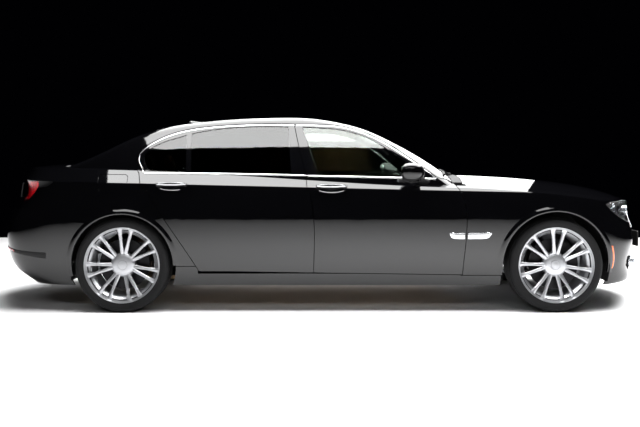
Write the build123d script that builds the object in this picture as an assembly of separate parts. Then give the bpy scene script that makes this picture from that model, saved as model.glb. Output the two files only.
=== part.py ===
from build123d import *
import math
import os

os.makedirs("parts", exist_ok=True)

# ---------------------------------------------------------------- driving dimensions (mm)
# Frame: +X forward, +Y left, +Z up. Origin on the ground, mid length, on the centreline.
FRONT_AXLE_X = 1747.0
REAR_AXLE_X = -1463.0
FRONT_TRACK_HALF = 805.0
REAR_TRACK_HALF = 812.0
WHEEL_Z = 350.0
TYRE_R = 350.0
RIM_R = 273.0
FRONT_ARCH_R = 404.0
REAR_ARCH_R = 398.0
# Plan shape of nose and tail: how far behind the tip (mm), share of the half width.
END_PLAN = [(0, 0.0), (14, 0.20), (70, 0.36), (124, 0.51), (180, 0.66), (236, 0.79), (312, 0.888), (430, 0.955),
            (640, 0.988), (950, 1.0)]
SHUT_GAP = 5.0            # gap at every shut line
FIT_GAP = 0.3             # clearance between pieces that are seated on each other
PANEL_T = 22.0            # fenders, quarter panels, hood
DOOR_INNER_Y = 838.0      # inner face of the door shells below the belt
CARD_INNER_Y = 780.0      # inner face of the door cards
FRAME_T = 48.0            # door window frames
PILLAR_T = 92.0           # pillars and cant rails, measured from the outer skin
GLASS_T = 6.0
GLASS_INSET = 5.0
FLOOR_Z = 235.0
FLOOR_T = 30.0
LOWER_SLANT = 0.13        # shut faces lean forward going inboard, so the doors clear
UPPER_SLANT = 0.30
SIDE_REF_Y = 1010.0

# ---------------------------------------------------------------- outer surfaces
# Horizontal sections of the lower body: height, half width, nose tip, tail tip.
SECTIONS = [
    (195, 866, 2556, -2410), (264, 895, 2590, -2500), (390, 922, 2588, -2584), (500, 936, 2604, -2600),
    (620, 945, 2578, -2596), (720, 947, 2550, -2546),
]
# The shoulder crease falls gently forward; the shoulder above it leans in.
CREASE_Z = 925.0
CREASE_FALL = 0.023       # per mm of length
CREASE_SECTIONS = [(0, 931, 2515, -2462), (300, 925, 2420, -2400)]        # height over the crease, as above
SHOULDER_SECTIONS = [(-200, 1092, 2700, -2600), (-60, 981, 2620, -2500), (60, 880, 2500, -2430),
                     (240, 735, 2350, -2350)]
# Centre line of hood and deck, side view, and how far they fall at 800 mm from the centre.
HOOD_LINE = [(2700, 640), (2620, 710), (2540, 775), (2440, 832), (2300, 884), (2172, 915), (1989, 945), (1795, 967),
             (1600, 984), (1371, 997), (1200, 1004), (900, 1008)]
DECK_LINE = [(-1500, 1105), (-1900, 1105), (-2057, 1100), (-2250, 1088), (-2370, 1072), (-2700, 1040)]
CROWN_DROP = (54.0, 8.1e-3, 1.9e-6)
# Greenhouse: centre line of the glass and roof, side view, and its half width at each height.
ROOF_LINE = [(-2330, 960), (-2150, 1032), (-1981, 1104), (-1828, 1166), (-1698, 1227), (-1568, 1289), (-1400, 1355),
             (-1200, 1405), (-900, 1446), (-600, 1469), (-330, 1478), (-60, 1470), (170, 1434), (350, 1387),
             (613, 1270), (801, 1168), (990, 1048), (1190, 908)]
GREENHOUSE_WIDTH = [(930, 888), (1020, 856), (1200, 768), (1400, 645), (1500, 575)]


def lerp(table, x):
    for (x0, y0), (x1, y1) in zip(table, table[1:]):
        if x <= x1:
            return y0 + (y1 - y0) * (x - x0) / (x1 - x0)
    return table[-1][1]


def section_wires(sections):
    """Closed wires from lists of point runs; a run of two points is a straight edge.

    All wires share the first one's knots, which keeps a loft through them light.
    """
    knots = []
    for run in sections[0]:
        steps = [0.0]
        for a, b in zip(run, run[1:]):
            steps.append(steps[-1] + math.dist(a, b))
        knots.append([t / steps[-1] for t in steps])
    wires = []
    for runs in sections:
        edges = []
        for run, t in zip(runs, knots):
            pts = [Vector(*p) for p in run]
            edges.append(Edge.make_line(*pts) if len(pts) == 2 else Edge.make_spline(pts, parameters=t))
        wires.append(Wire(edges))
    return wires


def loft_runs(sections):
    return Solid.make_loft(section_wires(sections))


def plan_runs(width, nose, tail, height):
    """Closed plan outline in two runs, from tail to nose and back."""
    half = [(tail + drop, width * share) for drop, share in END_PLAN]
    half += [(x, width) for x in (-900, 0, 900)]
    half += [(nose - drop, width * share) for drop, share in reversed(END_PLAN)]
    left = [(x, y, height(x)) for x, y in half]
    right = [(x, -y, height(x)) for x, y in reversed(half)]
    return [left, right]


def crease_z(x):
    return CREASE_Z - CREASE_FALL * x


def lower_wrap(inset):
    """The body's wrap-around side, drawn in by inset; the shoulder crease is where two skins meet."""
    low = SECTIONS[0]
    sections = [(low[0] - 60, low[1] - 20, *low[2:])] + SECTIONS[1:] if inset else SECTIONS
    side = [plan_runs(w - inset, f - inset, r + inset, lambda x, z=z: z) for z, w, f, r in sections]
    side += [plan_runs(w - inset, f - inset, r + inset, lambda x, d=dz: crease_z(x) + d)
             for dz, w, f, r in CREASE_SECTIONS]
    shoulder = [plan_runs(w - inset * 1.35, f - inset, r + inset, lambda x, d=dz: crease_z(x) + d)
                for dz, w, f, r in SHOULDER_SECTIONS]
    base = Pos(0, 0, 390) * Box(6000, 2400, 820)
    return loft_runs(side) & (loft_runs(shoulder) + base.solid())


def side_view_runs(line, y, drop, floor):
    top = [(x, y, z - drop(x)) for x, z in line]
    first, last = top[0], top[-1]
    low_last, low_first = (last[0], y, floor), (first[0], y, floor)
    return [top, [last, low_last], [low_last, low_first], [low_first, first]]


def crowned(line, inset, fall, floor=60.0):
    """Everything under a side-view line that falls away to both sides."""
    stations = (-1000, -500, 0, 500, 1000)
    return loft_runs([side_view_runs(line, y, lambda x, y=y: fall(x) * (y / 800.0) ** 2 + inset, floor)
                      for y in stations])


def crown_drop(x):
    return CROWN_DROP[0] + CROWN_DROP[1] * x + CROWN_DROP[2] * x * x


def lower_body(inset=0.0):
    line = list(reversed(HOOD_LINE))
    line = DECK_LINE[::-1] + [(-400, 1060)] + line
    top = crowned(line, inset, crown_drop)
    return lower_wrap(inset) & top


def roof_runs(y, inset):
    """Glass and roof line at one width; windscreen and rear window bow forward and back."""
    u = (abs(y) / 720.0) ** 2
    pts = []
    for x, z in ROOF_LINE:
        bow = max(-1.0, min(1.0, (x + 350) / 900.0))
        pts.append((x - 88 * u * bow, y, z - 40 * u * (1 - 0.5 * abs(bow)) - inset * 1.08))
    low_first, low_last = (pts[0][0], y, 700), (pts[-1][0], y, 700)
    return [pts, [pts[-1], low_last], [low_last, low_first], [low_first, pts[0]]]


def greenhouse_half(x, z):
    return lerp(GREENHOUSE_WIDTH, z) - 40.0 * ((x + 300.0) / 1000.0) ** 2


def greenhouse_sides(inset):
    wires = []
    for z, _ in GREENHOUSE_WIDTH:
        left = [(x, greenhouse_half(x, z) - inset * 1.12, z) for x in (-2400, -1350, -300, 500, 1300)]
        right = [(x, -y, zz) for x, y, zz in reversed(left)]
        wires.append([left, [left[-1], right[0]], right, [right[-1], left[0]]])
    return loft_runs(wires)


def greenhouse(inset=0.0, rounding=70.0):
    """Glass house with the cant rails rounded over."""
    top = loft_runs([roof_runs(y, inset) for y in (-950, -475, 0, 475, 950)])
    house = (top & greenhouse_sides(inset)).solid()
    return house



def fillet_long(solid, radius, shortest, above):
    edges = [e for e in solid.edges() if e.length > shortest and e.center().Z > above]
    return solid.fillet(radius, edges)


# ---------------------------------------------------------------- helpers for panels
def smooth(points):
    """Open run of edges through side-view or plan points."""
    return Edge.make_spline([Vector(*p) for p in points])


def side_face(runs, slant, skin):
    """Face in the plane y = SIDE_REF_Y from (x, z) runs that lie on the skin y = skin(x, z).

    slant: mm forward per mm inboard, the direction in which the shut faces lean.
    """
    def place(p):
        return (p[0] - slant * (SIDE_REF_Y - skin(p[0], p[1])), SIDE_REF_Y, p[1])
    edges = []
    for run in runs:
        pts = [place(p) for p in run]
        edges.append(Edge.make_line(*pts) if len(pts) == 2 else smooth(pts))
    return Face(Wire(edges))


def side_prism(runs, slant, skin=lambda x, z: SIDE_REF_Y, depth=700.0):
    return Solid.extrude(side_face(runs, slant, skin), Vector(slant * depth, -depth, 0))


def polygon_prism(points, axis, low, high):
    """Prism of a polygon: along z from (x, y), along y from (x, z), along x from (y, z)."""
    at = {"z": lambda p: (p[0], p[1], low), "y": lambda p: (p[0], low, p[1]), "x": lambda p: (low, p[0], p[1])}[axis]
    step = {"z": Vector(0, 0, high - low), "y": Vector(0, high - low, 0), "x": Vector(high - low, 0, 0)}[axis]
    return Solid.extrude(Face(Wire.make_polygon([Vector(*at(p)) for p in points], close=True)), step)


def box(x0, x1, y0, y1, z0, z1):
    return Pos((x0 + x1) / 2, (y0 + y1) / 2, (z0 + z1) / 2) * Box(x1 - x0, y1 - y0, z1 - z0)


def rod(start, end, radius):
    a, b = Vector(*start), Vector(*end)
    return Solid.make_cylinder(radius, (b - a).length, Plane(origin=a, z_dir=(b - a).normalized()))


def plain_edge(edge):
    """The same edge, with an offset curve replaced by a spline through it."""
    if edge.geom_type in (GeomType.LINE, GeomType.CIRCLE):
        return edge
    count = max(6, min(24, int(edge.length / 40)))
    return Edge.make_spline([edge @ (i / count) for i in range(count + 1)], tangents=[edge % 0, edge % 1])


def grown(face, amount):
    """The face with its outline moved out (or in, if negative)."""
    wire = face.outer_wire().offset_2d(amount)
    wire = wire if isinstance(wire, Wire) else wire.wires()[0]
    return Face(Wire([plain_edge(e) for e in wire.edges()]))


def big(shape, least=2000.0):
    """Drops the slivers that a cut leaves behind."""
    solids = [s for s in shape.solids() if s.volume > least]
    return solids[0] if len(solids) == 1 else Compound(solids)


def biggest(shape):
    return max(shape.solids(), key=lambda s: s.volume)


def right_of(shape):
    return mirror(shape, about=Plane.XZ)


def both(shape):
    return Compound(list(shape.solids()) + list(right_of(shape).solids()))


NODES = {}


def keep(name, shape):
    NODES[name] = shape


# ---------------------------------------------------------------- body volumes
OUTER_LOW = lower_body()
INNER_LOW = lower_body(PANEL_T)
SEAT_LOW = lower_body(PANEL_T + FIT_GAP)     # what is carried inside the skin stays within this
OUTER_HOUSE = greenhouse()
OUTER_HOUSE = fillet_long(OUTER_HOUSE, 70, 2500, 1100)
INNER_HOUSE = greenhouse(FRAME_T)          # inside the door window frames
CABIN_HOUSE = greenhouse(PILLAR_T)         # inside the pillars
GLASS_OUT = greenhouse(GLASS_INSET)
GLASS_IN = greenhouse(GLASS_INSET + GLASS_T)


def house_skin(x, z):
    """Half width of the greenhouse skin, rounded off towards the roof."""
    return greenhouse_half(x, min(z, 1500)) - max(0.0, z - 1340) * 0.25


def lower_skin(x, z):
    return 946.0 if z < 880 else 946.0 - (z - 880) * 0.6


# ---------------------------------------------------------------- door outlines on the skin (x, z)
BELT_Z = 1004.0
ROOF_FRONT = [(-194, 1407), (0, 1405), (154, 1393), (308, 1353), (460, 1286), (611, 1192), (761, 1085), (880, 998)]
ROOF_REAR = [(-194, 1407), (-386, 1411), (-618, 1404), (-830, 1390), (-1027, 1362), (-1170, 1320), (-1294, 1259),
             (-1372, 1195), (-1388, 1140), (-1370, 1085), (-1330, 1030)]
B_UPPER = [(-194, 1407), (-100, 1000)]
B_LOWER = [(-100, 1000), (-72, 860), (-46, 690), (-44, 480), (-52, 293)]
FENDER_EDGE = [(935, 984), (1030, 908), (1074, 790), (1082, 680), (1072, 500), (1050, 277)]
ARCH_EDGE = [(-1330, 1030), (-1290, 925), (-1172, 727), (-1024, 505), (-902, 305)]


def front_door_runs():
    upper = [ROOF_FRONT, [ROOF_FRONT[-1], FENDER_EDGE[0]], [FENDER_EDGE[0], (935, 900)], [(935, 900), (-78, 900)],
             [(-78, 900), B_UPPER[1]], B_UPPER[::-1]]
    lower = [FENDER_EDGE, [FENDER_EDGE[-1], B_LOWER[-1]], B_LOWER[::-1], [B_LOWER[0], FENDER_EDGE[0]]]
    return upper, lower


def rear_door_runs():
    upper = [B_UPPER, [B_UPPER[1], (-78, 900)], [(-78, 900), (-1278, 900)], [(-1278, 900), ROOF_REAR[-1]],
             ROOF_REAR[::-1]]
    lower = [B_LOWER, [B_LOWER[-1], ARCH_EDGE[-1]], ARCH_EDGE[::-1], [ARCH_EDGE[0], B_LOWER[0]]]
    return upper, lower


def door_prism(runs, margin):
    """Slanted prisms of a door outline, grown by margin; the upper one leans more."""
    upper, lower = runs
    faces = (side_face(upper, UPPER_SLANT, house_skin), UPPER_SLANT), (side_face(lower, LOWER_SLANT, lower_skin),
                                                                        LOWER_SLANT)
    solids = []
    for face, slant in faces:
        face = grown(face, margin) if margin else face
        solids.append(Solid.extrude(face, Vector(slant * 560, -560, 0)))
    return solids


HALF_GAP = SHUT_GAP / 2
WINDOWS = {
    "front": [[[(-10, 1016), (775, 996)],
               [(775, 996), (700, 1072), (607, 1144), (459, 1250), (307, 1324), (154, 1364), (0, 1379), (-137, 1385)],
               [(-137, 1385), (-10, 1016)]]],
    "rear": [[[(-968, 1038), (-216, 1024)], [(-216, 1024), (-243, 1385)],
              [(-243, 1385), (-430, 1389), (-617, 1383), (-800, 1366), (-985, 1333)], [(-985, 1333), (-968, 1038)]],
             [[(-1276, 1046), (-1007, 1040)], [(-1007, 1040), (-1022, 1324)],
              [(-1022, 1324), (-1186, 1272), (-1296, 1213), (-1338, 1160), (-1322, 1098), (-1276, 1046)]]],
}
SIDE_ZONE = box(-2700, 2700, 480, 1100, 150, 1500)
HOUSE_ZONE = polygon_prism([(-2700, 602), (300, 602), (1000, 752), (1500, 752), (1500, 1100), (-2700, 1100)], "z",
                           150, 1500)
OUTER_SIDES = [OUTER_LOW & SIDE_ZONE, OUTER_HOUSE & HOUSE_ZONE]


def outer_side(prisms):
    """What the prisms cut out of the left half of the body's outer volume."""
    shape = None
    for volume in OUTER_SIDES:
        for prism in prisms:
            piece = volume & prism
            if piece is not None:
                shape = piece if shape is None else shape + piece
    return shape


# side outlines (x, z) of the inner door cards
CARD_OUTLINES = {"front": [(22, 925), (975, 925), (1000, 780), (990, 560), (965, 400), (935, 348), (35, 362)],
                 "rear": [(-1178, 925), (-120, 925), (-120, 370), (-840, 372), (-880, 420), (-950, 530), (-1060, 690)]}


def door_card(kind):
    outline = Wire.make_polygon([Vector(x, CARD_INNER_Y, z) for x, z in CARD_OUTLINES[kind]], close=True)
    return Solid.extrude(Face(outline), Vector(0, DOOR_INNER_Y + 3 - CARD_INNER_Y, 0))


def handle(x0, x1, z):
    """Oval pull bar on two stems."""
    grip = Pos((x0 + x1) / 2, 951, z) * Box(x1 - x0, 16, 26)
    grip = grip.fillet(7, grip.edges())
    stems = box(x0 + 12, x0 + 34, 890, 950, z - 9, z + 9) + box(x1 - 34, x1 - 12, 890, 950, z - 9, z + 9)
    return grip + stems


HINGE_Z = 608.0
HINGE_T = 22.0
HINGE_X = {"front": 1075.0, "rear": -52.0}
HINGE_NOTCHES = {kind: box(x - 28, x + 22, DOOR_INNER_Y - 8, 877, HINGE_Z - 8, HINGE_Z + HINGE_T + FIT_GAP)
                 for kind, x in HINGE_X.items()}


def door(kind, runs, others):
    """Door shell with its window frame, card and handle; others: prisms of the door it closes against."""
    shell = outer_side(door_prism(runs, -HALF_GAP))
    for prism in others:
        shell = shell - prism
    shell = shell - box(-1500, 1200, 400, DOOR_INNER_Y, 150, 930)
    shell = (shell - INNER_HOUSE + door_card(kind)) - HINGE_NOTCHES[kind]
    shell = shell - box(900, 1200, 400, 762, 925, 1100)
    for window in WINDOWS[kind]:
        shell = shell - side_prism(window, 0.0)
    return shell


DOORS = {"front": front_door_runs(), "rear": rear_door_runs()}
FRONT_DOOR = door("front", DOORS["front"], [])
REAR_DOOR = door("rear", DOORS["rear"], door_prism(DOORS["front"], HALF_GAP))
HANDLES = {"front": handle(-28, 200, 934), "rear": handle(-1208, -980, 948)}


# finger recess behind each handle: an ellipsoid sunk into the skin
DISH_SIZE = (118, 20, 42)
DISH_AT = {"front": (86, 935, 925), "rear": (-1092, 937, 942)}
DISHES = {kind: Pos(*place) * scale(Solid.make_sphere(1, Plane.XY, -90, 90, 360), by=DISH_SIZE)
          for kind, place in DISH_AT.items()}




def window_pane(runs):
    face = grown(side_face(runs, 0.0, lambda x, z: SIDE_REF_Y), -FIT_GAP)
    prism = Solid.extrude(face, Vector(0, -600, 0))
    return (GLASS_OUT & prism) - GLASS_IN


for kind, shell in (("front", FRONT_DOOR), ("rear", REAR_DOOR)):
    whole = big((shell - DISHES[kind]) + HANDLES[kind])
    panes = [window_pane(w) for w in WINDOWS[kind]]
    glass = Compound([s for p in panes for s in p.solids()])
    for side, place in (("left", lambda o: o), ("right", right_of)):
        keep(f"{kind}_door_{side}", place(whole))
        keep(f"{kind}_door_glass_{side}", place(glass))


# ---------------------------------------------------------------- lids: hood, boot lid
HOOD_HALF = [(1128, 0), (1120, 350), (1092, 640), (1076, 765), (1150, 790), (1700, 792), (2050, 748), (2290, 668),
             (2392, 540), (2446, 320), (2462, 0)]
LID_FRONT_X = -1992.0
LID_HALF = 645.0
LID_LOW_Z = 775.0
BIG = 3000.0


def hood_face(margin):
    """Plan outline of the hood, grown by margin."""
    rear, side, front = HOOD_HALF[:4], HOOD_HALF[4:8], HOOD_HALF[8:]
    half = [[(x, y, 0) for x, y in run] for run in (rear, [rear[-1]] + side, [side[-1]] + front)]
    edges = []
    for sign in (1, -1):
        for run in half:
            edges.append(smooth([(x, sign * y, 0) for x, y, _ in run]))
    face = Face(Wire(edges))
    return grown(face, margin) if margin else face


def up_prism(face, low=200.0, high=1700.0):
    return Solid.extrude(Pos(0, 0, low) * face, Vector(0, 0, high - low))


HOOD_HOLE = up_prism(hood_face(HALF_GAP), 640)
LOW_SHELL = OUTER_LOW - INNER_LOW
HOOD = (LOW_SHELL & up_prism(hood_face(-HALF_GAP), 700))
LID_ZONE = box(-BIG, LID_FRONT_X, -LID_HALF, LID_HALF, LID_LOW_Z, 1500)
LID_HOLE = box(-BIG, LID_FRONT_X + SHUT_GAP, -LID_HALF - SHUT_GAP, LID_HALF + SHUT_GAP, LID_LOW_Z - SHUT_GAP, 1500)

# ---------------------------------------------------------------- lamps
HEADLAMP_SIDE = [[(2117, 797), (2150, 815)], [(2150, 815), (2700, 830)], [(2700, 830), (2700, 640)],
                 [(2700, 640), (2394, 648)], [(2394, 648), (2272, 683), (2117, 797)]]
TAIL_SIDE = [(-2100, 968), (-2102, 935), (-2122, 905), (-2190, 838), (-2300, 812), (-2700, 812), (-2700, 962),
             (-2330, 968)]
HEADLAMP_INNER_Y = 420.0


def headlamp_prism(margin):
    face = side_face(HEADLAMP_SIDE, 0.0, lambda x, z: SIDE_REF_Y)
    face = grown(face, margin) if margin else face
    prism = Solid.extrude(face, Vector(0, HEADLAMP_INNER_Y - margin - SIDE_REF_Y, 0))
    return prism


def tail_prism(margin, y0, y1):
    face = Face(Wire.make_polygon([Vector(x, y0 - margin, z) for x, z in TAIL_SIDE], close=True))
    face = grown(face, margin) if margin else face
    return Solid.extrude(face, Vector(0, y1 - y0 + 2 * margin, 0))


LAMP_DEPTH = lower_body(80.0)
HEADLAMP = biggest((OUTER_LOW & headlamp_prism(-FIT_GAP)) - LAMP_DEPTH - HOOD_HOLE)
TAIL_LAMP = biggest((OUTER_LOW & tail_prism(-FIT_GAP, LID_HALF + 2 * SHUT_GAP, 1000)) - LAMP_DEPTH)
LID_LAMP = biggest((OUTER_LOW & tail_prism(-FIT_GAP, 440, LID_HALF)) - LAMP_DEPTH)

# ---------------------------------------------------------------- glass house: roof, screens, rails
SCREEN_HALF = [[(352, 0), (338, 300), (288, 566)], [(288, 566), (968, 712)], [(968, 712), (1030, 370), (1056, 0)]]
BACKLIGHT_HALF = [[(-1238, 0), (-1226, 300), (-1192, 536)], [(-1192, 536), (-1886, 622)],
                  [(-1886, 622), (-1956, 340), (-1976, 0)]]
ROOF_HALF_Y = 566.0


def plan_face(half_runs, margin=0.0):
    """Closed plan outline from the runs of its left half."""
    edges = []
    for sign in (1, -1):
        for run in half_runs:
            pts = [(x, sign * y, 0) for x, y in run]
            edges.append(Edge.make_line(*pts) if len(pts) == 2 else smooth(pts))
    face = Face(Wire(edges))
    return grown(face, margin) if margin else face


HOUSE_SHELL = OUTER_HOUSE - INNER_HOUSE
PILLAR_SHELL = OUTER_HOUSE - CABIN_HOUSE
WINDSCREEN = biggest((OUTER_HOUSE & up_prism(plan_face(SCREEN_HALF, -FIT_GAP))) - GLASS_OUT)
BACKLIGHT = biggest((OUTER_HOUSE & up_prism(plan_face(BACKLIGHT_HALF, -FIT_GAP))) - GLASS_OUT)
SCREEN_HOLE = up_prism(plan_face(SCREEN_HALF))
BACKLIGHT_HOLE = up_prism(plan_face(BACKLIGHT_HALF))
ROOF_ZONE = box(-1330, 420, -ROOF_HALF_Y, ROOF_HALF_Y, 1250, 1500)
ROOF = biggest((HOUSE_SHELL & ROOF_ZONE) - SCREEN_HOLE - BACKLIGHT_HOLE)

DOOR_HOLES = door_prism(DOORS["front"], HALF_GAP) + door_prism(DOORS["rear"], HALF_GAP)
DEEP_HOLES = door_prism(DOORS["front"], -30) + door_prism(DOORS["rear"], -30)


def without(shape, *tools):
    for tool in tools:
        shape = shape - tool
    return shape


GAP_SHELL = OUTER_HOUSE - greenhouse(FRAME_T + SHUT_GAP)
RAIL_ZONE = box(-1330, 1010, ROOF_HALF_Y + FIT_GAP, 1000, 935, 1500)
CANT_RAIL = without(PILLAR_SHELL & RAIL_ZONE, SCREEN_HOLE, *DEEP_HOLES)
CANT_RAIL = without(CANT_RAIL, *[GAP_SHELL & hole for hole in DOOR_HOLES])
CANT_RAIL = biggest(CANT_RAIL)

# ---------------------------------------------------------------- fenders, quarters, bumpers
FENDER_LOW_Z = 276.0
front_zone = [[(930, FENDER_LOW_Z), (1420, FENDER_LOW_Z)], [(1420, FENDER_LOW_Z), (1420, 500)], [(1420, 500), (1800, 668)],
              [(1800, 668), (2240, 692)], [(2240, 692), (2470, 692)], [(2470, 692), (2470, 1100)],
              [(2470, 1100), (930, 1100)], [(930, 1100), (930, FENDER_LOW_Z)]]
FENDER_PRISM = side_prism(front_zone, 0.0, depth=800)
FRONT_ARCH = rod((FRONT_AXLE_X, 470, WHEEL_Z), (FRONT_AXLE_X, 1100, WHEEL_Z), FRONT_ARCH_R)
REAR_ARCH = rod((REAR_AXLE_X, 650, WHEEL_Z), (REAR_AXLE_X, 1100, WHEEL_Z), REAR_ARCH_R)
LEFT = box(-BIG, BIG, 0, 1200, 0, 1600)
LOW_LEFT = LOW_SHELL & LEFT

FENDER = without(LOW_LEFT & FENDER_PRISM, HOOD_HOLE, FRONT_ARCH, headlamp_prism(0), OUTER_HOUSE, *DOOR_HOLES)
FENDER = biggest(FENDER - box(-BIG, 1095, 0, 838, 0, 1500))

BUMPER_ZONE_FRONT = box(1747, BIG, 0, 1200, 180, 1100)
FRONT_BUMPER = without(LOW_LEFT & BUMPER_ZONE_FRONT, side_prism(front_zone, 0.0, depth=800) - box(2280, BIG, 0, 560, 0, 1500),
                       HOOD_HOLE, FRONT_ARCH, headlamp_prism(0))
# openings in the nose, front view (y, z): grille, lower intake, side intake
GRILLE_OPENING = [(-20, 588), (250, 594), (352, 640), (372, 700), (340, 752), (250, 772), (-20, 778)]
INTAKE_OPENING = [(-20, 276), (380, 280), (446, 312), (430, 372), (360, 388), (-20, 392)]
SIDE_OPENING = [(540, 300), (560, 384), (700, 412), (770, 400), (756, 330), (700, 292)]
for opening in (GRILLE_OPENING, INTAKE_OPENING, SIDE_OPENING):
    FRONT_BUMPER = FRONT_BUMPER - polygon_prism(opening, "x", 2200, 2700)
FRONT_BUMPER = biggest(FRONT_BUMPER)


def slats(heights, half_width, posts, thickness=7.0):
    """Level bars that follow the nose behind the bumper skin, tied by upright posts."""
    low, high = heights[0] - 22, heights[-1] + 22
    bars = None
    for z in heights:
        bar = box(2200, 2700, -half_width, half_width, z - thickness / 2, z + thickness / 2)
        bars = bar if bars is None else bars + bar
    for y in posts:
        bars = bars + box(2200, 2700, y - 6, y + 6, low, high)
    return biggest((SEAT_LOW & bars) - LAMP_DEPTH)


GRILLE = slats([604 + 24 * i for i in range(7)], 392, (-386, -190, 0, 190, 386))
LOWER_GRILLE = slats([296 + 26 * i for i in range(4)], 778, (-772, -520, -240, 0, 240, 520, 772))

EXHAUST_Y = 430.0
EXHAUST_Z = 262.0
EXHAUST_R = 32.0
QUARTER_LOW_Z = 344.0
quarter_zone = [(-700, QUARTER_LOW_Z), (-1463, QUARTER_LOW_Z), (-1463, 640), (-1741, 662), (-2150, 697), (-2200, 764), (-BIG, 770),
                (-BIG, 1600), (-700, 1600)]
QUARTER_PRISM = polygon_prism(quarter_zone, "y", 0, 1200)
LOW_QUARTER = without(LOW_LEFT & QUARTER_PRISM, OUTER_HOUSE, LID_HOLE, box(-1990, -700, 0, 640, 900, 1200))
C_PILLAR = without(PILLAR_SHELL & box(-2000, -1330 - FIT_GAP, 400, 1000, 930, 1500), LID_HOLE,
                   box(-2000, -1330, 400, 640, 900, 1060))
QUARTER = without(LOW_QUARTER + C_PILLAR, BACKLIGHT_HOLE, REAR_ARCH, tail_prism(0, LID_HALF + 2 * SHUT_GAP, 1100),
                  *DOOR_HOLES)
QUARTER = biggest(QUARTER)
REAR_BUMPER = without(LOW_LEFT & box(-BIG, -1463, 0, 1200, 180, 1100), polygon_prism(quarter_zone, "y", 0, 1200),
                      REAR_ARCH)
REAR_BUMPER = biggest(REAR_BUMPER - rod((-2700, EXHAUST_Y, EXHAUST_Z), (-2000, EXHAUST_Y, EXHAUST_Z), EXHAUST_R + SHUT_GAP))

SUNK_LOW = OUTER_LOW - lower_body(10)          # the outermost 10 mm of the skin
PLATE_RECESS = box(-BIG, -2200, -262, 262, 826, 948)
BOOT_LID = without(LOW_SHELL & LID_ZONE, SUNK_LOW & PLATE_RECESS, tail_prism(0, 440, LID_HALF + 20),
                   right_of(tail_prism(0, 440, LID_HALF + 20)), OUTER_HOUSE)
hinge_plate = box(-2070, -1998, 600, 608, 1010, 1085) & OUTER_LOW
BOOT_LID = biggest(BOOT_LID + hinge_plate + right_of(hinge_plate))
hood_plate = box(1108, 1210, 700, 708, 880, 965) & OUTER_LOW
HOOD = biggest((HOOD - OUTER_HOUSE) + hood_plate + right_of(hood_plate))

for name, shape in (("fender", FENDER), ("quarter_panel", QUARTER)):
    keep(f"{name}_left", shape)
    keep(f"{name}_right", right_of(shape))
# fuel flap: a shut line round it in the right quarter panel
FLAP_X, FLAP_Z, FLAP_CORNER = (-1640, -1426), (902, 1018), 26
FLAP_GAP = 4.0


def flap_prism(margin):
    x0, x1, z0, z1 = FLAP_X[0] - margin, FLAP_X[1] + margin, FLAP_Z[0] - margin, FLAP_Z[1] + margin
    prism = box(x0, x1, -1100, -800, z0, z1)
    return prism.fillet(FLAP_CORNER + margin, prism.edges().filter_by(Axis.Y))


keep("quarter_panel_right", right_of(QUARTER) - (SUNK_LOW & (flap_prism(FLAP_GAP) - flap_prism(0))))
keep("cant_rails", both(CANT_RAIL))
keep("grille", GRILLE)
keep("lower_grille", LOWER_GRILLE)
keep("roof", ROOF)
keep("hood", HOOD)
keep("boot_lid", BOOT_LID)
keep("lid_lamps", both(LID_LAMP))
keep("tail_lamps", both(TAIL_LAMP))
keep("headlamps", both(HEADLAMP))
keep("windscreen", WINDSCREEN)
keep("rear_window", BACKLIGHT)
keep("front_bumper", FRONT_BUMPER + right_of(FRONT_BUMPER))
keep("rear_bumper", REAR_BUMPER + right_of(REAR_BUMPER))


# ---------------------------------------------------------------- floor, sills, pillars, bulkheads
FIREWALL_X = 1085.0
SEAT_WALL_X = -1345.0
REAR_FLOOR_X = -1045.0     # ahead of the rear wheels the floor is full width
FLOOR_END_X = -1330.0
FLOOR_HALF = 740.0
floor = box(REAR_FLOOR_X, FIREWALL_X, -FLOOR_HALF, FLOOR_HALF, FLOOR_Z - FLOOR_T, FLOOR_Z)
floor = floor + box(FLOOR_END_X, REAR_FLOOR_X, -600, 600, FLOOR_Z - FLOOR_T, FLOOR_Z)
tunnel = box(FLOOR_END_X, FIREWALL_X, -135, 135, FLOOR_Z, FLOOR_Z + 120)
tunnel = tunnel.fillet(40, tunnel.edges().filter_by(Axis.X).sort_by(Axis.Z)[-2:])
keep("floor_pan", floor + tunnel)

SILL_INNER_Y = FLOOR_HALF + FIT_GAP
sill = OUTER_LOW & (box(-1100, 1340, SILL_INNER_Y, 1000, 196, 318) + box(-1100, -890, SILL_INNER_Y, 1000, 300, 339))
SILL_STEP = box(-1500, 1400, DOOR_INNER_Y - SHUT_GAP, 1100, 150, 500)
sill = without(sill, box(-905, 1345, DOOR_INNER_Y - SHUT_GAP, 1000, 286, 400), *[h & SILL_STEP for h in DOOR_HOLES],
               box(1040, 1345, DOOR_INNER_Y - SHUT_GAP, 1000, FENDER_LOW_Z - SHUT_GAP, 400))
sill = without(biggest(sill), FRONT_ARCH, REAR_ARCH)
keep("sills", both(biggest(sill)))

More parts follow.
